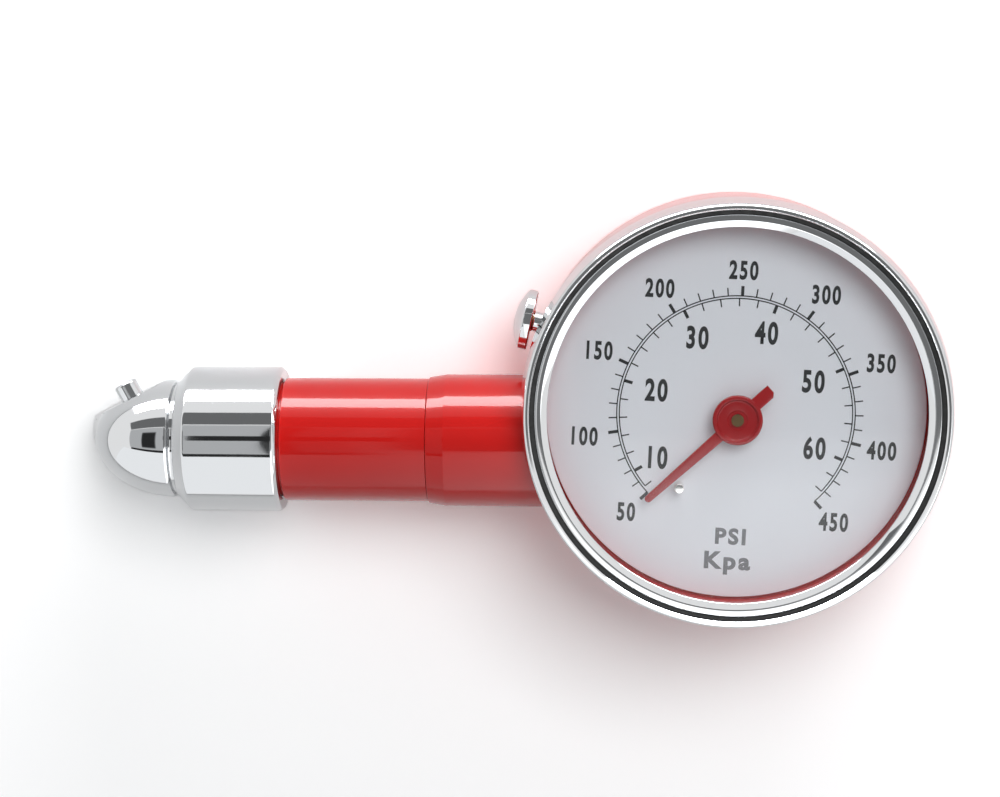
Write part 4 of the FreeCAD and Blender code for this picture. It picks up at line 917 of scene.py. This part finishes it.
@dataclass(frozen=True)
class Chuck:
    """Chrome head with its slanted flat, mouth and deflator pin."""

    base: float = -84.1
    length: float = 12.575
    radius: float = 8.98
    groove: float = 8.2
    seat: float = 8.6
    collar_start: float = -83.4
    spigot_end: float = -76.0
    ring_middle: float = -78.25
    ring_half: float = 0.675
    ring_floor: float = 7.67
    boss_radius: float = 6.2
    boss_reach: float = 9.3
    mouth_radius: float = 4.0
    mouth_floor: float = 0.8
    mouth_foot: float = 3.2
    seal_radius: float = 4.7
    seal_low: float = 2.8
    seal_top: float = 4.4
    lead_in: float = 0.6
    air_radius: float = 1.5
    pin_radius: float = 1.8
    pin_reach: float = 2.4
    pin_depth: float = 2.2
    pin_along: float = 2.12
    flat_edge: float = 0.22

    def nose(self) -> bpy.types.Object:
        """The bullet and the spigot behind it."""
        steps = 36
        turns = [math.pi / 2 * step / steps for step in range(steps)]
        tip = [Corner(self.radius * math.sin(turn), self.base - self.length * math.cos(turn))
               for turn in turns]
        mesh = solid_of_turn([
            *tip, Corner(self.radius, self.base, 0.5),
            Corner(self.groove, self.base, 0.1), Corner(self.groove, self.collar_start),
            Corner(self.seat, self.collar_start), Corner(self.seat, self.ring_middle - self.ring_half),
            Corner(self.ring_floor, self.ring_middle - self.ring_half),
            Corner(self.ring_floor, self.ring_middle + self.ring_half),
            Corner(self.seat, self.ring_middle + self.ring_half), Corner(self.seat, self.spigot_end, 0.3),
            Corner(0, self.spigot_end)], 160)
        return as_object("chuck_nose", moved(mesh, ALONG_HANDLE))

    def deflator_place(self) -> Matrix:
        """Stands a piece on the flat, square to it, with Z pointing outwards."""
        foot = FLAT + Vector((math.cos(FLAT_ANGLE), math.sin(FLAT_ANGLE), 0)) * self.pin_along
        return (Matrix.Translation(foot) @ Matrix.Rotation(FLAT_ANGLE, 4, "Z")
                @ Matrix.Rotation(math.radians(-90.0), 4, "X"))

    def tools(self) -> list[tuple[bpy.types.Object, Cut]]:
        """The boss to add, then the flat, the mouth, the air bore and the pin's hole to take away."""
        boss = solid_of_turn([
            Corner(0, 0), Corner(self.boss_radius, 0), Corner(self.boss_radius, self.boss_reach, 0.6),
            Corner(0, self.boss_reach)], 128)
        mouth = solid_of_turn([
            Corner(0, self.mouth_floor), Corner(self.mouth_foot, self.mouth_floor),
            Corner(self.mouth_foot, self.seal_low), Corner(self.seal_radius, self.seal_low),
            Corner(self.seal_radius, self.seal_top), Corner(self.mouth_radius, self.seal_top),
            Corner(self.mouth_radius, self.boss_reach - self.lead_in),
            Corner(self.mouth_radius + 2 * self.lead_in, self.boss_reach + self.lead_in),
            Corner(0, self.boss_reach + self.lead_in)], 128)
        flat = brick(Vector((-9, 0, -10)), Vector((22, 9, 10)),
                     Matrix.Translation(FLAT) @ Matrix.Rotation(FLAT_ANGLE, 4, "Z"))
        air = straight(self.air_radius, MOUTH_X, self.spigot_end + 1)
        hole = straight(self.pin_radius + 0.05, -self.pin_depth, 1)
        return [(as_object("boss_form", moved(boss, MOUTH)), Cut.UNION),
                (as_object("flat_form", flat), Cut.TAKE),
                (as_object("mouth_form", moved(mouth, MOUTH)), Cut.TAKE),
                (as_object("air_form", moved(air, ALONG_HANDLE)), Cut.TAKE),
                (as_object("hole_form", moved(hole, self.deflator_place())), Cut.TAKE)]

    def eased(self, head: bpy.types.Object) -> bpy.types.Object:
        """Round the rim of the slanted flat a little.

        Args:
            head: The cut head.

        Returns:
            The same object.
        """
        normal = Vector((-math.sin(FLAT_ANGLE), math.cos(FLAT_ANGLE), 0))
        mesh = bmesh.new()
        mesh.from_mesh(head.data)
        flats = [face for face in mesh.faces if face.normal.dot(normal) > 0.9999
                 and abs((face.verts[0].co / MM - FLAT).dot(normal)) < 0.01]
        inside = set(flats)
        hole = self.deflator_place().translation
        rim = [edge for face in flats for edge in face.edges
               if not all(other in inside for other in edge.link_faces)
               and (edge.verts[0].co / MM - hole).length > self.pin_radius + 0.5]
        bmesh.ops.bevel(mesh, geom=list(set(rim)), offset=self.flat_edge * MM, segments=3, profile=0.5,
                        affect="EDGES", material=-1)
        mesh.to_mesh(head.data)
        mesh.free()
        return head

    def pin(self) -> bpy.types.Object:
        """The stub on the flat."""
        mesh = solid_of_turn([
            Corner(0, -self.pin_depth), Corner(self.pin_radius, -self.pin_depth, 0.1),
            Corner(self.pin_radius, self.pin_reach, 0.35), Corner(0, self.pin_reach)], SMALL_STEPS)
        return as_object("deflator_stub", moved(mesh, self.deflator_place()))

    def build(self, shop: Workshop) -> None:
        """Make and finish the head and the pin.

        Args:
            shop: Finishes the pieces.
        """
        head = self.eased(carved(self.nose(), self.tools()))
        shop.fit(head, CHROME, replaces=["chuck_head"], edge=Edge.TURNED)
        shop.fit(self.pin(), CHROME, replaces=["deflator_pin"])


@dataclass(frozen=True)
class ReleaseButton:
    """Chrome mushroom button on its stem."""

    radius: float = 4.55
    rim: float = 1.3
    dome: float = 1.5
    stem: float = 1.5
    stem_length: float = 3.5
    flange: float = 1.8
    flange_end: float = 4.3
    rod: float = 0.8
    rod_end: float = 12.55

    def build(self, shop: Workshop) -> None:
        """Make and finish the button.

        Args:
            shop: Finishes the piece.
        """
        crown = [Corner(*point)
                 for point in reversed(domed(self.radius - 0.1, self.rim + 0.1, self.dome - 0.1))]
        mesh = solid_of_turn([
            Corner(0, -self.rod_end), Corner(self.rod, -self.rod_end), Corner(self.rod, -self.flange_end),
            Corner(self.flange, -self.flange_end), Corner(self.flange, -self.stem_length),
            Corner(self.stem, -self.stem_length), Corner(self.stem, 0, 0.3), Corner(self.radius, 0, 0.25),
            Corner(self.radius, self.rim, 0.2), *crown], 128)
        button = as_object("button_cap", moved(mesh, RELEASE_LINE))
        shop.fit(button, CHROME, "button", ["release_button"], Edge.SOFT)


@dataclass(frozen=True)
class Pointer:
    """Red pointer: a dished hub with a raised rim, a tapered arm and a short tail."""

    low: float = 24.0
    top: float = 25.1
    radius: float = 3.65
    rim: float = 0.55
    dish: float = 0.45
    boss: float = 1.5
    bore: float = 0.9
    boss_low: float = 22.7
    length: float = 17.9
    root: float = 1.65
    tip: float = 1.05
    tail: float = 6.6
    tail_width: float = 1.9
    arm_low: float = 24.25
    arm_top: float = 24.85

    def hub(self) -> bpy.types.Object:
        """The dished disc."""
        floor = self.top - self.dish
        mesh = solid_of_turn([
            Corner(self.bore, self.boss_low), Corner(self.boss, self.boss_low), Corner(self.boss, self.low),
            Corner(self.radius, self.low, 0.12), Corner(self.radius, self.top, 0.28),
            Corner(self.radius - self.rim, self.top, 0.15), Corner(self.radius - self.rim - 0.25, floor, 0.2),
            Corner(self.boss, floor, 0.2), Corner(self.boss - 0.15, floor - 0.1),
            Corner(self.bore, floor - 0.1)], 128)
        return as_object("pointer_blade", moved(mesh, self.place()))

    def place(self) -> Matrix:
        """Turns the pointer to its rest, against the stop pin."""
        return Matrix.Translation(HUB) @ Matrix.Rotation(POINTER_ANGLE, 4, "Z")

    def arm(self) -> bpy.types.Object:
        """The long arm, with a round end."""
        start = self.radius - self.rim / 2
        half = self.tip / 2
        end = [(self.length - half + half * math.cos(angle), half * math.sin(angle))
               for angle in (math.radians(90.0 * step / 5) for step in range(-5, 6))]
        outline = [(start, self.root / 2), (start, -self.root / 2), *end]
        return as_object("arm_form", moved(prism(outline, self.arm_low, self.arm_top, 0.12), self.place()))

    def counterweight(self) -> bpy.types.Object:
        """The short tail, with one corner off."""
        start = self.radius - self.rim / 2
        half = self.tail_width / 2
        outline = [(-start, half), (-self.tail + self.rim, half), (-self.tail, half - self.rim),
                   (-self.tail, -half), (-start, -half)]
        return as_object("tail_form", moved(prism(outline, self.arm_low, self.arm_top, 0.1), self.place()))

    def build(self, shop: Workshop) -> None:
        """Make and finish the pointer.

        Args:
            shop: Finishes the piece.
        """
        blade = carved(self.hub(), [(self.arm(), Cut.UNION), (self.counterweight(), Cut.UNION)])
        shop.fit(blade, POINTER_RED, "pointer", ["pointer"])


@dataclass(frozen=True)
class Numeral:
    """One number or word on the dial.

    Attributes:
        text: What it says.
        x: Its middle across the dial, from the middle of the print.
        y: Its middle up the dial.
        height: Height of its capitals.
        squeeze: Width against the plain letter.
        weight: How far the strokes are thickened, as a share of the letter's size.
        spacing: Space between letters.
        grey: Whether it is printed grey instead of black.
    """

    text: str
    x: float
    y: float
    height: float
    squeeze: float = 0.66
    weight: float = 0.034
    spacing: float = 1.25
    grey: bool = False


UNIT_NAMES = (Numeral("PSI", -0.56, -18.24, 2.5, 1.0, 0.04, 1.25, True),
              Numeral("Kpa", -0.99, -21.8, 2.5, 1.08, 0.04, 1.25, True))


@dataclass(frozen=True)
class Scale:
    """One of the dial's two scales.

    Attributes:
        radius: Middle of its arc line.
        start: Reading where the arc begins.
        stop: Reading where the arc ends.
        angle_at_start: Angle of the first reading, in degrees, anticlockwise from the dial's right.
        per_unit: Degrees turned clockwise for each unit.
        major: Step between the thick ticks.
        minor: Step between the thin ticks.
        outward: 1 for ticks that point out, -1 for ticks that point in.
        major_length: Length of a thick tick.
        minor_length: Length of a thin tick.
    """

    radius: float
    start: int
    stop: int
    angle_at_start: float
    per_unit: float
    major: int
    minor: int
    outward: int
    major_length: float = 1.45
    minor_length: float = 1.2

    def angle(self, reading: float) -> float:
        """Angle of a reading.

        Args:
            reading: The number on the scale.

        Returns:
            The angle in radians, anticlockwise from the dial's right.
        """
        return math.radians(self.angle_at_start - self.per_unit * (reading - self.start))


KPA = Scale(17.36, 50, 450, 222.6, 0.676, 50, 10, 1)
PSI = Scale(16.98, 8, 64, 219.33, 4.666, 10, 2, -1, 1.25, 1.15)


@dataclass(frozen=True)
class Dial:
    """Dial plate, its print and the stop pin."""

    radius: float = 27.7
    low: float = 21.2
    top: float = 22.0
    hub_hole: float = 2.0
    pin_x: float = -8.2
    pin_y: float = -11.05
    pin_radius: float = 0.72
    pin_shank: float = 0.5
    pin_top: float = 24.7
    print_middle: Vector = Vector((0.0, -0.37, 0.0))
    print_turn: float = math.radians(-2.6)
    print_low: float = 22.0
    print_top: float = 22.02
    line: float = 0.17
    major_width: float = 0.46
    minor_width: float = 0.19
    kpa_height: float = 2.8
    psi_height: float = 3.4
    kpa_places: tuple[float, ...] = (21.64, 22.3, 21.96, 21.56, 21.1, 21.79, 22.32, 21.92, 21.55)
    psi_places: tuple[float, ...] = (13.05, 12.09, 12.57, 12.7, 12.24, 12.57)

    def plate(self) -> bpy.types.Object:
        """The disc with its two holes."""
        disc = solid_of_turn([Corner(0, self.low), Corner(self.radius, self.low, 0.1),
                              Corner(self.radius, self.top, 0.12), Corner(0, self.top)])
        holes = [moved(straight(self.hub_hole, self.low - 1, self.top + 1), Matrix.Translation(HUB)),
                 moved(straight(self.pin_shank, self.low - 1, self.top + 1),
                       Matrix.Translation((self.pin_x, self.pin_y, 0)))]
        tools = [(as_object("dial_hole_%d" % number, mesh), Cut.TAKE) for number, mesh in enumerate(holes)]
        return carved(as_object("dial_face", disc), tools)

    def pin(self) -> bpy.types.Object:
        """The stop pin."""
        mesh = solid_of_turn([
            Corner(0, self.low), Corner(self.pin_shank, self.low), Corner(self.pin_shank, self.top),
            Corner(self.pin_radius, self.top), Corner(self.pin_radius, self.pin_top, 0.2),
            Corner(0, self.pin_top)], SMALL_STEPS)
        return as_object("dial_stop", moved(mesh, Matrix.Translation((self.pin_x, self.pin_y, 0))))

    def sweep(self, target: bmesh.types.BMesh, scale: Scale) -> None:
        """Add a scale's thin arc line.

        Args:
            target: The mesh that collects the print.
            scale: The scale.
        """
        first, last = scale.angle(scale.start), scale.angle(scale.stop)
        steps = 180
        rows = []
        for step in range(steps + 1):
            angle = first + (last - first) * step / steps
            rows.append([target.verts.new((radius * math.cos(angle), radius * math.sin(angle), height))
                         for radius, height in ((scale.radius - self.line / 2, self.print_low),
                                                (scale.radius + self.line / 2, self.print_low),
                                                (scale.radius + self.line / 2, self.print_top),
                                                (scale.radius - self.line / 2, self.print_top))])
        for row, following in zip(rows, rows[1:]):
            for side in range(4):
                target.faces.new((row[side], row[(side + 1) % 4], following[(side + 1) % 4], following[side]))
        target.faces.new(rows[0])
        target.faces.new(reversed(rows[-1]))

    def tick(self, target: bmesh.types.BMesh, scale: Scale, reading: int) -> None:
        """Add one tick.

        Args:
            target: The mesh that collects the print.
            scale: The scale.
            reading: The number that the tick stands at.
        """
        major = reading % scale.major == 0
        length = scale.major_length if major else scale.minor_length
        width = self.major_width if major else self.minor_width
        ends = sorted((scale.radius, scale.radius + scale.outward * length))
        made = bmesh.ops.create_cube(target, size=1.0)["verts"]
        bmesh.ops.scale(target, vec=(ends[1] - ends[0], width, self.print_top - self.print_low), verts=made)
        middle = ((ends[0] + ends[1]) / 2, 0, (self.print_low + self.print_top) / 2)
        bmesh.ops.translate(target, vec=middle, verts=made)
        bmesh.ops.rotate(target, matrix=Matrix.Rotation(scale.angle(reading), 3, "Z"), verts=made)

    def numerals(self) -> list[Numeral]:
        """Every number and word, placed by its scale."""
        listed = []
        for scale, places, height in ((KPA, self.kpa_places, self.kpa_height),
                                      (PSI, self.psi_places, self.psi_height)):
            first = -(-scale.start // scale.major) * scale.major
            for place, reading in zip(places, range(first, scale.stop + 1, scale.major)):
                angle = scale.angle(reading)
                listed.append(Numeral(str(reading), place * math.cos(angle), place * math.sin(angle), height))
        return [*listed, *UNIT_NAMES]

    def letters(self, target: bmesh.types.BMesh, numeral: Numeral) -> None:
        """Add one number or word.

        Args:
            target: The mesh that collects the print.
            numeral: What to print and where.
        """
        curve = bpy.data.curves.new(numeral.text, "FONT")
        curve.body = numeral.text
        curve.size = 1.0
        curve.offset = numeral.weight
        curve.space_character = numeral.spacing
        curve.resolution_u = 6
        curve.extrude = 0.5
        holder = bpy.data.objects.new(numeral.text, curve)
        data = bpy.data.meshes.new_from_object(holder)
        bpy.data.objects.remove(holder)
        bpy.data.curves.remove(curve)
        word = bmesh.new()
        word.from_mesh(data)
        bpy.data.meshes.remove(data)
        bmesh.ops.remove_doubles(word, verts=word.verts, dist=0.0001)
        low = Vector([min(vert.co[axis] for vert in word.verts) for axis in range(3)])
        high = Vector([max(vert.co[axis] for vert in word.verts) for axis in range(3)])
        capital = high.y - (low.y if numeral.text != "Kpa" else 0.0)
        size = numeral.height / capital
        bmesh.ops.translate(word, vec=(-(low.x + high.x) / 2, -(high.y - capital / 2), 0), verts=word.verts)
        bmesh.ops.scale(word, vec=(size * numeral.squeeze, size, self.print_top - self.print_low),
                        verts=word.verts)
        bmesh.ops.rotate(word, matrix=Matrix.Rotation(self.print_turn, 3, "Z"), verts=word.verts)
        bmesh.ops.translate(word, vec=(numeral.x, numeral.y, (self.print_low + self.print_top) / 2),
                            verts=word.verts)
        holding = bpy.data.meshes.new("word")
        word.to_mesh(holding)
        word.free()
        target.from_mesh(holding)
        bpy.data.meshes.remove(holding)

    def print_object(self, name: str, grey: bool) -> bpy.types.Object:
        """One layer of print: the units' names in grey, or both scales and their numbers in black.

        Args:
            name: The object's name.
            grey: Whether it is the grey layer.

        Returns:
            The printed layer, on the dial.
        """
        mesh = bmesh.new()
        for scale in () if grey else (KPA, PSI):
            self.sweep(mesh, scale)
            for reading in range(scale.start, scale.stop + 1, scale.minor):
                self.tick(mesh, scale, reading)
        for numeral in self.numerals():
            if numeral.grey == grey:
                self.letters(mesh, numeral)
        bmesh.ops.recalc_face_normals(mesh, faces=mesh.faces)
        return as_object(name, moved(mesh, Matrix.Translation(self.print_middle)))

    def build(self, shop: Workshop) -> None:
        """Make and finish the plate, its print and the pin.

        Args:
            shop: Finishes the pieces.
        """
        shop.fit(self.plate(), DIAL_WHITE, replaces=["dial_plate"])
        shop.fit(self.print_object("dial_print", False), INK, edge=Edge.FLAT)
        shop.fit(self.print_object("unit_names", True), GREY_INK, edge=Edge.FLAT)
        shop.fit(self.pin(), PALE_PIN, replaces=["stop_pin"])


INNER_FINISHES = {
    RUBBER: ("lens_gasket", "collar_o_ring", "chuck_seal", "inlet_o_ring", "release_plug"),
    BRASS: ("core_depressor", "check_seat", "check_poppet", "check_guide", "inlet_tube", "release_valve_body",
            "socket_block", "lower_plate", "upper_plate", "movement_pillars", "sector_gear", "pinion",
            "tube_end_cap", "hairspring_stud"),
    AGED_BRASS: ("pointer_arbor",),
    BRONZE: ("bourdon_tube", "hairspring"),
    STEEL: ("check_spring", "release_spring", "movement_screws", "sector_arbor", "link"),
}


def finish_inner(nodes: dict[str, bpy.types.Object], shop: Workshop) -> None:
    """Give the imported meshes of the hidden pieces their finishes.

    Args:
        nodes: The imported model's nodes by name.
        shop: Builds the materials.
    """
    for finish, names in INNER_FINISHES.items():
        for name in names:
            shop.paint(nodes[name], finish)


# Floor, light and camera

WHITE = (1.0, 1.0, 1.0, 1.0)
COOL_WHITE = (0.97, 0.985, 1.0, 1.0)


def looking(elevation: float, side: float) -> Vector:
    """Direction from the gauge to a point of the set.

    Args:
        elevation: Degrees down from overhead towards the back of the set; negative is towards the front.
        side: Degrees of sideways swing.

    Returns:
        A unit vector.
    """
    lean, swing = math.radians(elevation), math.radians(side)
    return Vector((math.tan(swing), math.sin(lean), math.cos(lean))).normalized()


@dataclass(frozen=True)
class SoftBox:
    """A rectangular studio light aimed at the middle of the gauge.

    Attributes:
        name: Its name.
        elevation: Degrees down from overhead towards the back of the set; negative is towards the front.
        side: Sideways swing, in degrees.
        distance: Distance from the gauge, in metres.
        width: Its size across the set, in metres.
        height: Its size along the sweep, in metres.
        power: Radiant power, in watts.
    """

    name: str
    elevation: float
    side: float
    distance: float
    width: float
    height: float
    power: float

    def build(self) -> None:
        """Make the light."""
        data = bpy.data.lights.new(self.name, "AREA")
        data.shape = "RECTANGLE"
        data.size = self.width
        data.size_y = self.height
        data.energy = self.power
        light = bpy.data.objects.new(self.name, data)
        light.visible_glossy = False
        bpy.context.scene.collection.objects.link(light)
        way = looking(self.elevation, self.side)
        light.location = way * self.distance
        light.rotation_mode = "QUATERNION"
        light.rotation_quaternion = way.to_track_quat("Z", "Y")


@dataclass(frozen=True)
class Card:
    """A flat card over the set that only polished surfaces show.

    Attributes:
        name: Its name.
        front: Angle of its front edge, in degrees from overhead; negative is towards the front of the set.
        back: Angle of its back edge.
        left: Its left edge, in degrees of swing.
        right: Its right edge, in degrees of swing.
        distance: Distance from the gauge, in metres.
        radiance: How bright it looks, where 1 is white.
        fade: Share of its size over which each edge fades.
    """

    name: str
    front: float
    back: float
    left: float
    right: float
    distance: float
    radiance: float
    fade: float = 0.04

    def material(self) -> bpy.types.Material:
        """Even light that fades towards the edges."""
        made = bpy.data.materials.new(self.name)
        tree = bare_tree(made)
        parts = add_node(tree, "SeparateXYZ", {"Vector": add_node(tree, "UVMap").outputs["UV"]})
        shares = []
        for axis in ("X", "Y"):
            away = add_node(tree, "Math", {0: parts.outputs[axis], 1: 0.5}, operation="PINGPONG")
            span = {"Value": away.outputs["Value"], "From Min": 0.0, "From Max": self.fade}
            ramp = add_node(tree, "MapRange", span, interpolation_type="SMOOTHSTEP")
            shares.append(ramp.outputs["Result"])
        both = add_node(tree, "Math", {0: shares[0], 1: shares[1]}, operation="MULTIPLY")
        clear = add_node(tree, "BsdfTransparent")
        glow = add_node(tree, "Emission", {"Color": COOL_WHITE, "Strength": self.radiance})
        show_mix(tree, both.outputs["Value"], clear.outputs["BSDF"], glow.outputs["Emission"])
        return made

    def build(self) -> None:
        """Make the card."""
        mesh = bmesh.new()
        layer = mesh.loops.layers.uv.new("card")
        corners = ((self.left, self.front), (self.right, self.front),
                   (self.right, self.back), (self.left, self.back))
        height = self.distance / MM
        verts = [mesh.verts.new((math.tan(math.radians(swing)) * height,
                                 math.sin(math.radians(lean)) * height,
                                 math.cos(math.radians(lean)) * height)) for swing, lean in corners]
        face = mesh.faces.new(verts)
        for loop, place in zip(face.loops, ((0, 0), (1, 0), (1, 1), (0, 1))):
            loop[layer].uv = place
        card = as_object(self.name, mesh)
        card.data.materials.append(self.material())
        card.visible_camera = False
        card.visible_diffuse = False
        card.visible_shadow = False
        card.visible_transmission = False


def seen_or_mirrored(tree: bpy.types.NodeTree) -> bpy.types.NodeSocket:
    """Tell whether a ray comes from the camera, from polished metal or through glass.

    Args:
        tree: The node tree to add to.

    Returns:
        A socket that is 1 for such rays and 0 for the rest.
    """
    path = add_node(tree, "LightPath")
    shown = path.outputs["Is Camera Ray"]
    for kind in ("Is Glossy Ray", "Is Transmission Ray"):
        either = add_node(tree, "Math", {0: shown, 1: path.outputs[kind]}, operation="MAXIMUM")
        shown = either.outputs["Value"]
    return shown


@dataclass(frozen=True)
class Studio:
    """Pale floor, lights, cards, sky and the camera that took the photo."""

    floor_size: float = 4.0
    floor_tone: float = 0.8
    floor_seen: float = 1.45
    floor_mirrored: float = 1.03
    sky: float = 0.33
    camera_place: Vector = Vector((-0.013533, 0.054209, 0.379))
    camera_turn: Euler = Euler((-0.146, 0.058, 0.006), "ZYX")
    focal_length: float = 88.634
    boxes: tuple[SoftBox, ...] = (
        SoftBox("back_key", 79.0, 12.0, 0.75, 0.45, 0.28, 3.2),
        SoftBox("overhead", 25.0, 14.0, 0.8, 0.45, 0.45, 2.9),
    )
    cards: tuple[Card, ...] = (
        Card("ceiling_left", -15.8, 29.5, -52.0, -9.5, 0.80, 0.55, 0.02),
        Card("ceiling", -10.5, 29.5, -9.8, 42.0, 0.80, 0.2, 0.03),
        Card("front_line", -20.0, -15.4, -52.0, -10.0, 0.60, 0.03),
        Card("camera_line", 4.9, 12.4, -20.8, -10.0, 0.60, 0.03, 0.03),
        Card("side_line", -20.0, 30.0, -14.4, -13.2, 0.60, 0.03),
        Card("stand", -14.0, 22.0, -41.0, -26.5, 0.60, 0.03, 0.12),
        Card("gap", 30.0, 49.5, -52.0, 42.0, 0.78, 0.18, 0.02),
        Card("strip", 69.5, 92.0, -45.0, 45.0, 0.85, 18.0),
        Card("front_wall_left", -88.0, -19.5, -60.0, -9.5, 1.0, 1.1, 0.02),
        Card("front_wall", -88.0, -10.8, -9.8, 60.0, 1.0, 2.3, 0.06),
    )

    def floor(self) -> None:
        """The pale floor, white to the camera but still shaded, and open to a look from below."""
        mesh = bmesh.new()
        bmesh.ops.create_grid(mesh, x_segments=1, y_segments=1, size=self.floor_size / 2 / MM)
        floor = as_object("floor", mesh)
        made = bpy.data.materials.new("floor_paper")
        tree = bare_tree(made)
        path = add_node(tree, "LightPath")
        plain = ranged(tree, path.outputs["Is Glossy Ray"], self.floor_tone, self.floor_mirrored, 0.0, 1.0)
        tone = add_node(tree, "Math", {0: path.outputs["Is Camera Ray"], 1: self.floor_seen - self.floor_tone,
                                       2: plain}, operation="MULTIPLY_ADD")
        paper = add_node(tree, "BsdfDiffuse", {"Color": tone.outputs["Value"]})
        side = add_node(tree, "NewGeometry")
        clear = add_node(tree, "BsdfTransparent")
        show_mix(tree, side.outputs["Backfacing"], paper.outputs["BSDF"], clear.outputs["BSDF"])
        floor.data.materials.append(made)

    def world(self) -> None:
        """White for the camera, for polished metal and through glass; a softer sky for the rest."""
        world = bpy.data.worlds.new("studio_sky")
        bpy.context.scene.world = world
        tree = bare_tree(world)
        seen = add_node(tree, "Background", {"Color": WHITE, "Strength": 1.0})
        felt = add_node(tree, "Background", {"Color": COOL_WHITE, "Strength": self.sky})
        show_mix(tree, seen_or_mirrored(tree), felt.outputs["Background"], seen.outputs["Background"],
                 "World")

    def camera(self) -> None:
        """The camera, placed by matching the photo."""
        data = bpy.data.cameras.new("photo_camera")
        data.lens = self.focal_length
        data.sensor_width = 36.0
        data.sensor_fit = "HORIZONTAL"
        data.clip_start = 0.01
        data.clip_end = 20.0
        camera = bpy.data.objects.new("photo_camera", data)
        camera.location = self.camera_place
        camera.rotation_mode = "ZYX"
        camera.rotation_euler = self.camera_turn
        bpy.context.scene.collection.objects.link(camera)
        bpy.context.scene.camera = camera

    def build(self) -> None:
        """Set everything up round the gauge."""
        self.floor()
        self.world()
        self.camera()
        for item in (*self.boxes, *self.cards):
            item.build()
        bpy.context.scene.view_settings.view_transform = "Standard"


def main() -> None:
    """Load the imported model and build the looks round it."""
    logging.basicConfig(level=logging.INFO)
    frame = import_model()
    shop = Workshop()
    for assembly in (Window(), Case(), Handle(), Chuck(), ReleaseButton(), Dial(), Pointer()):
        LOG.info("building %s", type(assembly).__name__)
        assembly.build(shop)
    finish_inner(frame["nodes"], shop)
    Studio().build()


if __name__ == "__main__":
    main()
